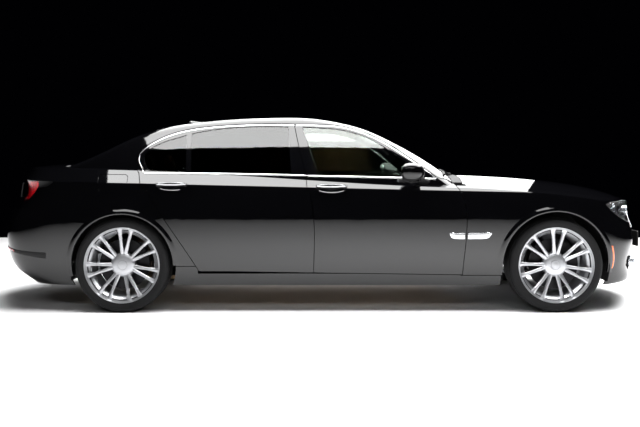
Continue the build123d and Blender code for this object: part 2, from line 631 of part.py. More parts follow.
POST_X0 = 1104.0
hinge_post = box(POST_X0, POST_X0 + 110, 744, 1000, 318.5, 880) & SEAT_LOW
hinge_post = hinge_post + box(HINGE_X["front"] - 15, POST_X0 + 5, 850, 867, HINGE_Z, HINGE_Z + HINGE_T)
hinge_post = hinge_post + box(925, POST_X0 + 110, 744, CARD_INNER_Y - SHUT_GAP, 850, 880)
hinge_post = hinge_post + box(925, 1050, 744, CARD_INNER_Y - SHUT_GAP, 850, 925)
hinge_post = hinge_post + box(940, 1000, 744, 758, 900, 935 - FIT_GAP)
hinge_post = hinge_post + box(POST_X0, POST_X0 + 80, 708 + FIT_GAP, 750, 840, 918)
hinge_post = biggest(hinge_post - FRONT_ARCH)
post = both(hinge_post)
pillar_lower = box(-125, 15, CARD_INNER_Y - 45, CARD_INNER_Y - SHUT_GAP, 318.5, 925)
pillar_lower = pillar_lower + box(HINGE_X["rear"] - 23, HINGE_X["rear"] - 3, CARD_INNER_Y - 10, 868, HINGE_Z, HINGE_Z + HINGE_T)
pillar_cap = box(-101, -39, CARD_INNER_Y - 45, DOOR_INNER_Y - 38, 900, 935 - FIT_GAP)
keep("b_pillars", both(pillar_lower + pillar_cap))
keep("hinge_posts", post)

firewall = box(FIREWALL_X + FIT_GAP, FIREWALL_X + 16, -735, 735, FLOOR_Z - FLOOR_T, 880)
seat_wall = box(SEAT_WALL_X - 16, SEAT_WALL_X - FIT_GAP, -640, 640, 485, 1000)
shelf = box(-1930, SEAT_WALL_X - 16, -560, 560, 985, 1000)
boot_floor = box(-2440, SEAT_WALL_X - 16, -540, 540, 485, 500)
leg = box(SEAT_WALL_X - 16, FLOOR_END_X - FIT_GAP, 200, 500, FLOOR_Z - FLOOR_T, 490)
lid_bracket = box(-2050, -1925, 560, 600 - FIT_GAP, 985, 1050)
bulkhead = seat_wall + shelf + boot_floor + leg + lid_bracket + box(-1930, -1900, 540, 575, 985, 1000)
keep("firewall", firewall)
keep("rear_bulkhead", bulkhead + right_of(bulkhead))

# cowl: the dark panel between hood and windscreen
cowl = without(LOW_SHELL & box(1000, 1170, -700, 700, 850, 1100), HOOD_HOLE, Pos(0.6, 0, 0) * OUTER_HOUSE)
keep("cowl", biggest(cowl))

# ---------------------------------------------------------------- wheels
HUB_IN, HUB_OUT = -70.0, 78.0
DISC_R = 174.0
BEAD_R = 252.0


def revolved(profile):
    """Solid of revolution about the wheel's axis from an (r, y) outline."""
    face = Face(Wire.make_polygon([Vector(r, y, 0) for r, y in profile], close=True))
    return revolve(Pos(0, 0, 0) * face, Axis.Y, 360)


def spoke(angle):
    """One tapered spoke, its front face dished towards the hub."""
    run = [(62, 44), (62, 74), (150, 92), (238, 98), (238, 74), (150, 62)]
    side = Face(Wire.make_polygon([Vector(x, y, 0) for x, y in run], close=True))
    blade = Solid.extrude(Pos(0, 0, -11) * side, Vector(0, 0, 22))
    return Rot(0, angle, 0) * blade


def rim():
    barrel = revolved([(229, -112), (229, 70), (236, 100), (262, 112), (RIM_R, 114), (RIM_R, 108.6), (BEAD_R, 107),
                       (BEAD_R, 80), (238, 66), (238, -86), (BEAD_R, -100), (BEAD_R, -107), (RIM_R, -108.6),
                       (RIM_R, -114), (262, -114)])
    hub = revolved([(0, HUB_IN), (82, HUB_IN), (82, 40), (76, 72), (34, HUB_OUT), (0, HUB_OUT)])
    disc = revolved([(60, -44), (DISC_R, -44), (DISC_R, -16), (60, -16)])
    spokes = None
    for i in range(7):
        for lean in (-9.5, 9.5):
            blade = spoke(i * 360 / 7 + lean)
            spokes = blade if spokes is None else spokes + blade
    return barrel + hub + spokes + disc


TYRE = revolved([(BEAD_R + 0.5, -106), (BEAD_R + 0.5, 106), (274.5, 107), (279, 119), (312, 122.5), (338, 112), (TYRE_R, 86),
                 (TYRE_R, -86), (338, -112), (312, -122.5), (279, -119), (274.5, -107)])
RIM = rim()
WHEELS = {"front_left": (FRONT_AXLE_X, FRONT_TRACK_HALF), "rear_left": (REAR_AXLE_X, REAR_TRACK_HALF)}
for name, (x, y) in WHEELS.items():
    tyre, wheel = Pos(x, y, WHEEL_Z) * TYRE, Pos(x, y, WHEEL_Z) * RIM
    keep(f"tyre_{name}", tyre)
    keep(f"rim_{name}", wheel)
    keep(f"tyre_{name.replace('left', 'right')}", right_of(tyre))
    keep(f"rim_{name.replace('left', 'right')}", right_of(wheel))

# ---------------------------------------------------------------- hubs and suspension
KINGPIN_Y = 762.0
ARM_Z = 226.0
KNUCKLE_TOP = 560.0
ENGINE_LOW_Z = 330.0
BOOT_FLOOR_Z = 485.0


def caliper(sign):
    """Brake caliper over the disc's rear or front edge, in the wheel's own frame."""
    block = box(sign * 96, sign * 206, -62, 4, -75, 75) if sign > 0 else box(sign * 206, sign * 96, -62, 4, -75, 75)
    slot = revolved([(0, -49), (DISC_R + 5, -49), (DISC_R + 5, -11), (0, -11)])
    block = block - slot
    return biggest(block) if len(block.solids()) > 1 else block


spindle_len = FRONT_TRACK_HALF + HUB_IN - FIT_GAP
knuckle = rod((FRONT_AXLE_X, 650, WHEEL_Z), (FRONT_AXLE_X, spindle_len, WHEEL_Z), 48)
knuckle = knuckle + box(FRONT_AXLE_X - 40, FRONT_AXLE_X + 40, 640, 690, ARM_Z + 14, KNUCKLE_TOP)
knuckle = knuckle + box(FRONT_AXLE_X - 28, FRONT_AXLE_X + 28, 640, 706, ARM_Z + FIT_GAP, ARM_Z + 26)
knuckle = knuckle + box(FRONT_AXLE_X + 0, FRONT_AXLE_X + 150, 700, 722, WHEEL_Z - 50, WHEEL_Z + 50)
knuckle = knuckle + Pos(FRONT_AXLE_X, FRONT_TRACK_HALF, WHEEL_Z) * caliper(1)
knuckle = knuckle + box(FRONT_AXLE_X + 100, FRONT_AXLE_X + 150, 700, 755, WHEEL_Z - 50, WHEEL_Z + 50)
knuckle = biggest(knuckle)
keep("front_knuckle_left", knuckle)
keep("front_knuckle_right", right_of(knuckle))

arm = box(FRONT_AXLE_X - 30, FRONT_AXLE_X + 30, 330, 706, ARM_Z - 26, ARM_Z)
UPPER_LINK_END_Y = 654.0   # stops short of the steered rim, which sweeps in to y 663
upper = box(FRONT_AXLE_X - 26, FRONT_AXLE_X + 26, 470, UPPER_LINK_END_Y, KNUCKLE_TOP + FIT_GAP, KNUCKLE_TOP + 14)
tower = box(FRONT_AXLE_X - 60, FRONT_AXLE_X + 60, 440, 492, 300, KNUCKLE_TOP + 60)
beam = box(FRONT_AXLE_X - 90, FRONT_AXLE_X + 90, -340, 340, 196, 232)
engine_foot = box(FRONT_AXLE_X - 60, FRONT_AXLE_X + 20, 150, 220, 230, ENGINE_LOW_Z - FIT_GAP)
rail_foot = box(FRONT_AXLE_X - 28, FRONT_AXLE_X + 28, 400, 450, ARM_Z - 10, 300 - FIT_GAP)
arm = arm + engine_foot + rail_foot
RAIL_END_X = 2358.0        # the rails end against the lower grille
rail = box(FIREWALL_X + 16 + FIT_GAP, RAIL_END_X, 395, 455, 300, 400)
keep("front_subframe", beam + arm + right_of(arm))
keep("front_rails", both(rail + tower + upper))

carrier = rod((REAR_AXLE_X, 650, WHEEL_Z), (REAR_AXLE_X, REAR_TRACK_HALF + HUB_IN - FIT_GAP, WHEEL_Z), 48)
carrier = carrier + box(REAR_AXLE_X - 45, REAR_AXLE_X + 45, 640, 690, WHEEL_Z - 110, WHEEL_Z + 130)
carrier = carrier + box(REAR_AXLE_X - 130, REAR_AXLE_X, 690, 722, WHEEL_Z - 50, WHEEL_Z + 50)
carrier = carrier + box(REAR_AXLE_X - 130, REAR_AXLE_X - 96, 700, 762, WHEEL_Z - 50, WHEEL_Z + 50)
carrier = carrier + Pos(REAR_AXLE_X, REAR_TRACK_HALF, WHEEL_Z) * caliper(-1)
half_shaft = rod((REAR_AXLE_X, 90, WHEEL_Z), (REAR_AXLE_X, 650, WHEEL_Z), 22)
rear_arm = box(REAR_AXLE_X - 40, REAR_AXLE_X + 40, 100, 645, WHEEL_Z - 110, WHEEL_Z - 80)
rear_leg = box(REAR_AXLE_X - 60, REAR_AXLE_X + 60, 300, 360, WHEEL_Z - 100, BOOT_FLOOR_Z - FIT_GAP)
rear_axle = biggest(carrier + half_shaft + rear_arm + rear_leg)
final_drive = rod((REAR_AXLE_X, -120, WHEEL_Z), (REAR_AXLE_X, 120, WHEEL_Z), 120)
keep("rear_axle", rear_axle + right_of(rear_axle) + final_drive)

engine = box(1160, 1900, -250, 250, ENGINE_LOW_Z, 780)
keep("engine_block", engine.fillet(40, engine.edges().filter_by(Axis.X)))
pipe = rod((-2505, 0, 0), (-1560, 0, 0), EXHAUST_R)
SILENCER_REAR_X = -2255.0  # clear of the bumper's rounded corner
exhaust = Pos(0, EXHAUST_Y, EXHAUST_Z) * pipe + box(SILENCER_REAR_X, -1950, 300, 520, 225, 330)
exhaust = exhaust + box(-2150, -2130, 400, 440, 300, BOOT_FLOOR_Z - FIT_GAP)
keep("exhaust", both(exhaust))

# arch liners inside the fenders
def liner(x, radius, y0, y1):
    ring = rod((x, y0, WHEEL_Z), (x, y1, WHEEL_Z), radius + 6) - rod((x, y0 - 5, WHEEL_Z), (x, y1 + 5, WHEEL_Z), radius)
    ring = ring + (rod((x, y0 - 5, WHEEL_Z), (x, y0, WHEEL_Z), radius + 6))
    return ring & box(x - 500, x + 500, y0 - 10, y1 + 10, WHEEL_Z, WHEEL_Z + 500)


front_liner = (liner(FRONT_AXLE_X, FRONT_ARCH_R, 500, 960) & SEAT_LOW) - box(1000, 2500, 0, 515, 295, 405)
front_liner = biggest(front_liner - box(FRONT_AXLE_X - 80, FRONT_AXLE_X + 80, 480, 510, 200, 640))
rear_liner = liner(REAR_AXLE_X, REAR_ARCH_R, 661, 960) & SEAT_LOW
rear_liner = biggest(rear_liner - box(REAR_AXLE_X - 150, REAR_AXLE_X + 150, 640, 680, 200, 560))
keep("front_liners", both(front_liner))
keep("rear_liners", both(rear_liner))

# ---------------------------------------------------------------- cabin
WHEEL_C = (520.0, 370.0, 790.0)
COLUMN_TILT = 24.0


def steering():
    ring = Solid.make_torus(183, 15, Plane(origin=(0, 0, 0), z_dir=(1, 0, 0)))
    hub = Pos(12, 0, 0) * Box(50, 110, 90)
    spokes = box(0, 16, -175, 175, -18, 14) + box(0, 16, -22, 22, -175, 0)
    return ring + hub.fillet(12, hub.edges()) + spokes


tilt = Pos(*WHEEL_C) * Rot(0, COLUMN_TILT, 0)
keep("steering_wheel", tilt * steering())
column = tilt * rod((37 + FIT_GAP, 0, 0), (330, 0, 0), 32)
dash = polygon_prism([(700, 690), (690, 860), (760, 915), (980, 915), (FIREWALL_X - FIT_GAP, 870),
                      (FIREWALL_X - FIT_GAP, 560), (860, 520)], "y",
                     -735, 735)
dash = dash.fillet(20, dash.edges().filter_by(Axis.Y))
keep("dashboard", dash + (column & box(0, 900, 0, 800, 0, 1400)))
console = box(-420, 855, -115, 115, FLOOR_Z + 120 + FIT_GAP, 515)
keep("centre_console", console.fillet(18, console.edges().filter_by(Axis.X).sort_by(Axis.Z)[-2:]))


def seat(x, y, width, floor_z):
    base = Pos(x + 20, y, floor_z + 60) * Box(380, width - 120, 120)
    cushion = Pos(x, y, floor_z + 190) * Box(540, width, 140)
    cushion = cushion.fillet(45, cushion.edges())
    back = Pos(x - 250, y, floor_z + 490) * Rot(0, -18, 0) * Box(130, width, 640)
    back = back.fillet(45, back.edges())
    head = Pos(x - 372, y, floor_z + 870) * Rot(0, -14, 0) * Box(90, 270, 170)
    head = head.fillet(35, head.edges())
    stalks = Pos(x - 352, y, floor_z + 800) * Rot(0, -14, 0) * Box(16, 110, 90)
    return base + cushion + back + stalks + head


front_seat = seat(190, 385, 520, FLOOR_Z)
keep("front_seats", both(front_seat))
bench = Pos(-1000, 0, 456) * Box(560, 1290, 190)
bench = bench.fillet(45, bench.edges())
bench_foot = box(-1260, -760, -600, 600, FLOOR_Z + 120 + FIT_GAP, 400)
rear_back = Pos(-1262, 0, 730) * Rot(0, -14, 0) * Box(120, 1270, 600)
rear_back = rear_back.fillet(45, rear_back.edges())
keep("rear_seat", (bench + bench_foot + rear_back) - box(SEAT_WALL_X - 100, SEAT_WALL_X, -800, 800, 0, 1400))

# ---------------------------------------------------------------- door mirrors
mirror_case = Pos(672, 1008, 1042) * Box(150, 190, 118)
mirror_case = mirror_case.fillet(44, mirror_case.edges())
mirror_left = biggest((mirror_case + box(640, 740, 800, 960, 966, 992)) - FRONT_DOOR)
keep("mirror_left", mirror_left)
keep("mirror_right", right_of(mirror_left))

for name, shape in NODES.items():
    export_step(shape, f"parts/{name}.step")
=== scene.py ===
import math

import bmesh
import bpy
from mathutils import Matrix, Vector
from mathutils.bvhtree import BVHTree


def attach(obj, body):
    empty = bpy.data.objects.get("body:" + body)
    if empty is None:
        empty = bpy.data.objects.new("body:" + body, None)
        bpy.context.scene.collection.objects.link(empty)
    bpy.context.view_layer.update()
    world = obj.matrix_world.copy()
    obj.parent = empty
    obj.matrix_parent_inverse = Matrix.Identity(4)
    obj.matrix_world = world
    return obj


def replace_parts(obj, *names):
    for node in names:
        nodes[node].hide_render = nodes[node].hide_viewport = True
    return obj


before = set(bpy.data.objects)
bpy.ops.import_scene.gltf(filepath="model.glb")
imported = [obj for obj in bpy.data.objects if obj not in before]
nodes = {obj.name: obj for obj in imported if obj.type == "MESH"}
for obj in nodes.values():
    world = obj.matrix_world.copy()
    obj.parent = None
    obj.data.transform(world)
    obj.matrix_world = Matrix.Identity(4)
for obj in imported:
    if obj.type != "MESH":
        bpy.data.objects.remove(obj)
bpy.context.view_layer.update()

# ---------------------------------------------------------------- camera
# Long lens from the car's right side, a little above the door handles. It looks straight across the car,
# and the view is shifted and not tilted, so that upright edges stay upright.
camera = bpy.data.objects.new("camera", bpy.data.cameras.new("camera"))
camera.data.lens = 45.7
camera.data.shift_y = -0.0777
camera.location = (0.0, -6.92, 1.10)
camera.rotation_euler = (math.radians(90), 0, 0)
bpy.context.scene.collection.objects.link(camera)
bpy.context.scene.camera = camera
bpy.context.scene.view_settings.view_transform = "Standard"


# ---------------------------------------------------------------- studio
# Pale painted floor that stops behind the car, and dark air beyond it. A large soft box hangs overhead,
# and two narrow ones light the floor beside the car and the far edge of its roof.
def srgb(code):
    """An sRGB hex colour as linear RGBA."""
    parts = [int(code[i:i + 2], 16) / 255 for i in (1, 3, 5)]
    return (*[c / 12.92 if c <= 0.04045 else ((c + 0.055) / 1.055) ** 2.4 for c in parts], 1.0)


def add(tree, kind, inputs=None, **settings):
    """Adds one node; a socket as a value is linked, anything else is set."""
    node = tree.nodes.new(kind)
    for key, value in settings.items():
        setattr(node, key, value)
    for key, value in (inputs or {}).items():
        if isinstance(value, bpy.types.NodeSocket):
            tree.links.new(value, node.inputs[key])
        else:
            node.inputs[key].default_value = value
    return node


def empty_material(name):
    """A new material and its empty node tree."""
    material = bpy.data.materials.new(name)
    material.use_nodes = True
    material.node_tree.nodes.clear()
    return material, material.node_tree


# Matt floor paint: an even pale grey that keeps the car's shadow.
floor_paint, tree = empty_material("floor_paint")
shader = add(tree, "ShaderNodeBsdfPrincipled", {"Base Color": srgb("#e9e9ea"), "Roughness": 0.75})
add(tree, "ShaderNodeOutputMaterial", {"Surface": shader.outputs[0]})

FLOOR_HALF, FLOOR_NEAR, FLOOR_FAR = 14, -9, 5.2
mesh = bpy.data.meshes.new("floor")
mesh.from_pydata([(-FLOOR_HALF, FLOOR_NEAR, 0), (FLOOR_HALF, FLOOR_NEAR, 0), (FLOOR_HALF, FLOOR_FAR, 0),
                  (-FLOOR_HALF, FLOOR_FAR, 0)], [], [(0, 1, 2, 3)])
mesh.materials.append(floor_paint)
floor = bpy.data.objects.new("floor", mesh)
bpy.context.scene.collection.objects.link(floor)

world = bpy.data.worlds.new("studio_air")
bpy.context.scene.world = world
world.use_nodes = True
world.node_tree.nodes["Background"].inputs["Color"].default_value = srgb("#010102")
world.node_tree.nodes["Background"].inputs["Strength"].default_value = 1.0


def soft_box(name, place, turn, size, power):
    """Area lamp that shines down when its turn is 0."""
    lamp = bpy.data.lights.new(name, "AREA")
    lamp.shape = "RECTANGLE"
    lamp.size, lamp.size_y = size
    lamp.energy = power
    box = bpy.data.objects.new(name, lamp)
    box.location = place
    box.rotation_euler = [math.radians(a) for a in turn]
    bpy.context.scene.collection.objects.link(box)


soft_box("soft_box_over", (1.3, 0.5, 4.2), (0, 0, 0), (7.5, 5.8), 1900)
soft_box("soft_box_floor", (0, -6.4, 3.4), (4, 0, 0), (7.0, 1.0), 150)
soft_box("soft_box_far", (0.45, 6.2, 2.6), (-70, 0, 0), (6.4, 2.4), 170)


# ---------------------------------------------------------------- painted panels
# Pressed steel and aluminium panels in black solid paint under clear coat: nearly no colour of its own,
# a deep mirror gloss, and a very slight orange-peel ripple, about 6 mm from crest to crest.
black_paint, tree = empty_material("black_clearcoat_paint")
on_piece = add(tree, "ShaderNodeTexCoord").outputs["Object"]
peel = add(tree, "ShaderNodeTexNoise", {"Vector": on_piece, "Scale": 160.0, "Detail": 1.0})
ripple = add(tree, "ShaderNodeBump", {"Height": peel.outputs["Fac"], "Strength": 0.012, "Distance": 0.001})
shader = add(tree, "ShaderNodeBsdfPrincipled", {
    "Base Color": srgb("#040405"), "Roughness": 0.3, "Specular IOR Level": 0.0, "Coat Weight": 1.0,
    "Coat Roughness": 0.03, "Normal": ripple.outputs[0], "Coat Normal": ripple.outputs[0]})
add(tree, "ShaderNodeOutputMaterial", {"Surface": shader.outputs[0]})

# Moulded unpainted plastic: black and matt, with an even grain of about 1 mm.
black_plastic, tree = empty_material("moulded_black_plastic")
on_piece = add(tree, "ShaderNodeTexCoord").outputs["Object"]
grain = add(tree, "ShaderNodeTexNoise", {"Vector": on_piece, "Scale": 900.0})
rough = add(tree, "ShaderNodeBump", {"Height": grain.outputs["Fac"], "Strength": 0.15, "Distance": 0.0005})
shader = add(tree, "ShaderNodeBsdfPrincipled", {
    "Base Color": srgb("#0b0b0c"), "Roughness": 0.6, "Specular IOR Level": 0.3, "Normal": rough.outputs[0]})
add(tree, "ShaderNodeOutputMaterial", {"Surface": shader.outputs[0]})

PAINTED = [n for n in nodes if n.startswith((
    "front_door_l", "front_door_r", "rear_door_l", "rear_door_r", "fender", "quarter_panel", "mirror"))]
for node in PAINTED + ["cant_rails", "roof", "hood", "boot_lid", "front_bumper", "rear_bumper", "sills"]:
    nodes[node].material_slots[0].material = black_paint
for node in ("cowl", "front_liners", "rear_liners", "floor_pan", "firewall", "rear_bulkhead", "hinge_posts",
             "b_pillars", "front_rails"):
    nodes[node].material_slots[0].material = black_plastic

# ---------------------------------------------------------------- glass
# Tempered side glass and laminated screens, bonded or run in the frames: polished smooth and faintly
# green. The panes behind the front doors are dyed dark.
PANES = {
    "green_tinted_glass": ("#b9c4bd", ("windscreen", "front_door_glass_left", "front_door_glass_right")),
    "privacy_glass": ("#3a3d3d", ("rear_window", "rear_door_glass_left", "rear_door_glass_right"))}
glass = {}
for name, (code, panes) in PANES.items():
    glass[name], tree = empty_material(name)
    shader = add(tree, "ShaderNodeBsdfPrincipled", {
        "Base Color": srgb(code), "Roughness": 0.0, "IOR": 1.45, "Transmission Weight": 1.0})
    add(tree, "ShaderNodeOutputMaterial", {"Surface": shader.outputs[0]})
    for node in panes:
        nodes[node].material_slots[0].material = glass[name]

# ---------------------------------------------------------------- alloy wheels
# One-piece cast aluminium wheels, machined, painted silver and clear-coated: seven pairs of V spokes run
# from a domed hub to the rim. A vented brake disc sits behind the spokes and turns with them.
# Silver paint with fine metal flake under clear coat: a soft bright sheen that parts each spoke's faces.
silver_paint, tree = empty_material("silver_wheel_paint")
shader = add(tree, "ShaderNodeBsdfPrincipled", {
    "Base Color": srgb("#a6a7aa"), "Metallic": 0.75, "Roughness": 0.3, "Coat Weight": 0.6,
    "Coat Roughness": 0.08})
add(tree, "ShaderNodeOutputMaterial", {"Surface": shader.outputs[0]})


def add_piece(name, points, faces, finish, sharp=35):
    """Mesh object with outward faces, smooth shading and edges kept where they are sharper than the angle."""
    mesh = bpy.data.meshes.new(name)
    mesh.from_pydata([tuple(p) for p in points], [], faces)
    shell = bmesh.new()
    shell.from_mesh(mesh)
    bmesh.ops.remove_doubles(shell, verts=shell.verts, dist=1e-5)
    bmesh.ops.recalc_face_normals(shell, faces=shell.faces)
    shell.to_mesh(mesh)
    shell.free()
    mesh.shade_smooth()
    mesh.set_sharp_from_angle(angle=math.radians(sharp))
    mesh.materials.append(finish)
    piece = bpy.data.objects.new(name, mesh)
    bpy.context.scene.collection.objects.link(piece)
    return piece


def skin(rings, ring_closed=True, path_closed=False, capped=True, start=0):
    """Points and faces of a surface through rings of points."""
    count = len(rings[0])
    points = [p for ring in rings for p in ring]
    faces = []
    for i in range(len(rings) if path_closed else len(rings) - 1):
        j = (i + 1) % len(rings)
        for k in range(count if ring_closed else count - 1):
            m = (k + 1) % count
            faces.append((i * count + k, i * count + m, j * count + m, j * count + k))
    if capped and ring_closed and not path_closed:
        faces.append(tuple(range(count)))
        faces.append(tuple((len(rings) - 1) * count + k for k in range(count)))
    return points, [tuple(start + v for v in f) for f in faces]


def turned(profile, steps):
    """Rings of a profile (radius, y) turned about the Y axis."""
    rings = []
    for i in range(steps):
        angle = math.tau * i / steps
        rings.append([(r * math.cos(angle), y, r * math.sin(angle)) for r, y in profile])
    return rings


def settle(piece):
    """Applies the live modifiers, so that the piece is a plain mesh."""
    graph = bpy.context.evaluated_depsgraph_get()
    mesh = bpy.data.meshes.new_from_object(piece.evaluated_get(graph))
    piece.modifiers.clear()
    piece.data = mesh
    return piece


def repeat_round(piece, count, finish):
    """Repeats the piece evenly about the Y axis with a Geometry Nodes tree, and makes it a plain mesh."""
    group = bpy.data.node_groups.new("repeat_round", "GeometryNodeTree")
    group.interface.new_socket("Piece", in_out="INPUT", socket_type="NodeSocketGeometry")
    number = group.interface.new_socket("Count", in_out="INPUT", socket_type="NodeSocketInt")
    group.interface.new_socket("Ring", in_out="OUTPUT", socket_type="NodeSocketGeometry")
    source = add(group, "NodeGroupInput")
    step = add(group, "ShaderNodeMath", {0: math.tau, 1: source.outputs["Count"]}, operation="DIVIDE")
    index = add(group, "GeometryNodeInputIndex")
    angle = add(group, "ShaderNodeMath", {0: index.outputs[0], 1: step.outputs[0]}, operation="MULTIPLY")
    turn = add(group, "ShaderNodeCombineXYZ", {"Y": angle.outputs[0]})
    seats = add(group, "GeometryNodePoints", {"Count": source.outputs["Count"]})
    copies = add(group, "GeometryNodeInstanceOnPoints", {
        "Points": seats.outputs[0], "Instance": source.outputs["Piece"], "Rotation": turn.outputs[0]})
    real = add(group, "GeometryNodeRealizeInstances", {0: copies.outputs[0]})
    dressed = add(group, "GeometryNodeSetMaterial", {"Geometry": real.outputs[0], "Material": finish})
    add(group, "NodeGroupOutput", {"Ring": dressed.outputs[0]})
    modifier = piece.modifiers.new("ring", "NODES")
    modifier.node_group = group
    modifier[number.identifier] = count
    return settle(piece)


WHEELS = {  # x and y of each wheel's middle, and its side
    "front_left": (1.747, 0.805, 1), "front_right": (1.747, -0.805, -1),
    "rear_left": (-1.463, 0.812, 1), "rear_right": (-1.463, -0.812, -1)}
WHEEL_Z = 0.350
SPOKE_PAIRS = 7
PAIR_TURN = math.radians(95)
SPOKE_RUN = [  # radius, sideways, width, face height along the axle, depth
    (0.066, 0.0110, 0.028, 0.080, 0.034), (0.095, 0.0138, 0.029, 0.084, 0.032),
    (0.125, 0.0192, 0.026, 0.090, 0.030), (0.165, 0.0265, 0.024, 0.095, 0.028),
    (0.205, 0.0338, 0.025, 0.099, 0.027), (0.238, 0.0400, 0.029, 0.102, 0.028),
    (0.255, 0.0432, 0.037, 0.104, 0.030), (0.266, 0.0452, 0.052, 0.106, 0.030)]


def spoke_rings(side):
    """Sections of one spoke of a pair, from the hub outwards."""
    rings = []
    for radius, shift, width, face, depth in SPOKE_RUN:
        section = [(-0.42, -depth), (-0.5, -depth * 0.4), (-0.48, -0.006), (-0.3, -0.0012), (0.0, 0.0),
                   (0.3, -0.0012), (0.48, -0.006), (0.5, -depth * 0.4), (0.42, -depth)]
        rings.append([(radius, face + drop, side * shift + across * width) for across, drop in section])
    return rings


def place_wheel(piece, name):
    """Moves a mesh made about the Y axis, outer face towards +Y, to its wheel."""
    x, y, side = WHEELS[name]
    turn = Matrix.Identity(4) if side > 0 else Matrix.Rotation(math.pi, 4, "Z")
    piece.data.transform(Matrix.Translation((x, y, WHEEL_Z)) @ turn)
    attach(piece, f"wheel_{name}")
    return piece


def joined(name, parts):
    """One object from pieces that share a finish."""
    shell = bmesh.new()
    for part in parts:
        shell.from_mesh(part.data)
    shell.to_mesh(parts[0].data)
    shell.free()
    for part in parts[1:]:
        bpy.data.objects.remove(part)
    parts[0].name = name
    return parts[0]


RIM_PROFILE = [(0.2285, -0.108), (0.2285, 0.050), (0.2400, 0.070), (0.2540, 0.081), (0.2605, 0.088),
               (0.2645, 0.1035), (0.2700, 0.1070), (0.2745, 0.1180), (0.2780, 0.1195), (0.2805, 0.1175),
               (0.2800, 0.1135), (0.2770, 0.1100), (0.2740, 0.1020), (0.2690, 0.0900)]
RIM_WALL = [(0.2620, 0.0780), (0.2460, 0.0620), (0.2350, 0.0400), (0.2330, -0.060), (0.2480, -0.080),
            (0.2530, -0.098), (0.2600, -0.104), (0.2730, -0.108), (0.2730, -0.1155), (0.2600, -0.1145),
            (0.2285, -0.110)]
HUB_PROFILE = [(0.0001, 0.0925), (0.0330, 0.0910), (0.0338, 0.0885), (0.0352, 0.0875), (0.0362, 0.0895),
               (0.0560, 0.0885), (0.0700, 0.0862), (0.0800, 0.0820), (0.0880, 0.0740), (0.0930, 0.0600),
               (0.0940, 0.0450), (0.0800, 0.0400), (0.0001, 0.0400)]
DISC_PROFILE = [(0.078, 0.030), (0.078, 0.040), (0.098, 0.040), (0.101, 0.020), (0.187, 0.020),
                (0.187, 0.010), (0.101, 0.010), (0.101, -0.004), (0.187, -0.004), (0.187, -0.014),
                (0.095, -0.014), (0.092, 0.030)]

# Turned cast iron, swept clean by the pads, with a broad, dull gloss. Its grey is painted much darker than
# the metal, as painted shade in the openings between the spokes.
shaded_disc_iron, tree = empty_material("turned_cast_iron_painted_shade")
shader = add(tree, "ShaderNodeBsdfPrincipled", {
    "Base Color": srgb("#232324"), "Metallic": 1.0, "Roughness": 0.42})
add(tree, "ShaderNodeOutputMaterial", {"Surface": shader.outputs[0]})

for name in WHEELS:
    points, faces = [], []
    for side in (1, -1):
        more, quads = skin(spoke_rings(side), start=len(points))
        points, faces = points + more, faces + quads
    spokes = repeat_round(add_piece("spokes", points, faces, silver_paint), SPOKE_PAIRS, silver_paint)
    barrel = add_piece("barrel", *skin(turned(RIM_PROFILE + RIM_WALL, 96), path_closed=True), silver_paint)
    hub = add_piece("hub", *skin(turned(HUB_PROFILE, 64), path_closed=True), silver_paint)
    wheel = joined(f"wheel_{name}", [spokes, barrel, hub])
    wheel.data.transform(Matrix.Rotation(-PAIR_TURN, 4, "Y"))
    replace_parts(place_wheel(wheel, name), f"rim_{name}")
    # The disc's near-black iron is painted shade behind the spokes.
    disc = add_piece(f"brake_disc_{name}", *skin(turned(DISC_PROFILE, 72), path_closed=True), shaded_disc_iron)
    place_wheel(disc, name)

# ---------------------------------------------------------------- tyres
# Low-profile radial tyres, seated on the rims by their own pressure: smooth side walls with moulded
# rings, and six grooves round the tread.
# Vulcanised rubber: black and dull, so that only the rings catch a soft light.
tyre_rubber, tree = empty_material("vulcanised_rubber")
shader = add(tree, "ShaderNodeBsdfPrincipled", {
    "Base Color": srgb("#0f0f10"), "Roughness": 0.7, "Specular IOR Level": 0.2})
add(tree, "ShaderNodeOutputMaterial", {"Surface": shader.outputs[0]})
TYRE_SIDE = [(0.2560, 0.0880), (0.2740, 0.1020), (0.2800, 0.1120), (0.2815, 0.1160), (0.2835, 0.1185),
             (0.2860, 0.1190), (0.2980, 0.1250), (0.3120, 0.1245), (0.3135, 0.1225), (0.3160, 0.1238),
             (0.3280, 0.1200), (0.3370, 0.1130), (0.3430, 0.1040), (0.3455, 0.0960)]
TREAD = [(0.3400, 0.0955), (0.3400, 0.0890), (0.3485, 0.0880), (0.3490, 0.0560), (0.3415, 0.0545),
         (0.3415, 0.0465), (0.3492, 0.0450), (0.3495, 0.0165), (0.3415, 0.0150), (0.3415, 0.0065),
         (0.3496, 0.0050)]
half = TYRE_SIDE + TREAD
TYRE_PROFILE = half + [(r, -y) for r, y in reversed(half)]
for name in WHEELS:
    tyre = add_piece(f"tyre_{name}_rubber", *skin(turned(TYRE_PROFILE, 128), path_closed=True), tyre_rubber,
                     sharp=30)
    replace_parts(place_wheel(tyre, name), f"tyre_{name}")

# ---------------------------------------------------------------- bright window surround
# Extruded and polished aluminium strip round the side glass, one run along the belt and one over the top,
# cut at the shut line between the doors and clipped to each door.
# Polished aluminium: a bright neutral mirror, slightly hazed by the buffing.
polished_trim, tree = empty_material("polished_aluminium_trim")
shader = add(tree, "ShaderNodeBsdfPrincipled", {
    "Base Color": srgb("#cfd0d2"), "Metallic": 1.0, "Roughness": 0.16})
add(tree, "ShaderNodeOutputMaterial", {"Surface": shader.outputs[0]})


def skin_tree(*names):
    """Search tree over the named panels' outer faces."""
    points, faces = [], []
    for name in names:
        start = len(points)
        mesh = nodes[name].data
        points += [v.co.copy() for v in mesh.vertices]
        faces += [tuple(start + v for v in f.vertices) for f in mesh.polygons]
    return BVHTree.FromPolygons(points, faces)


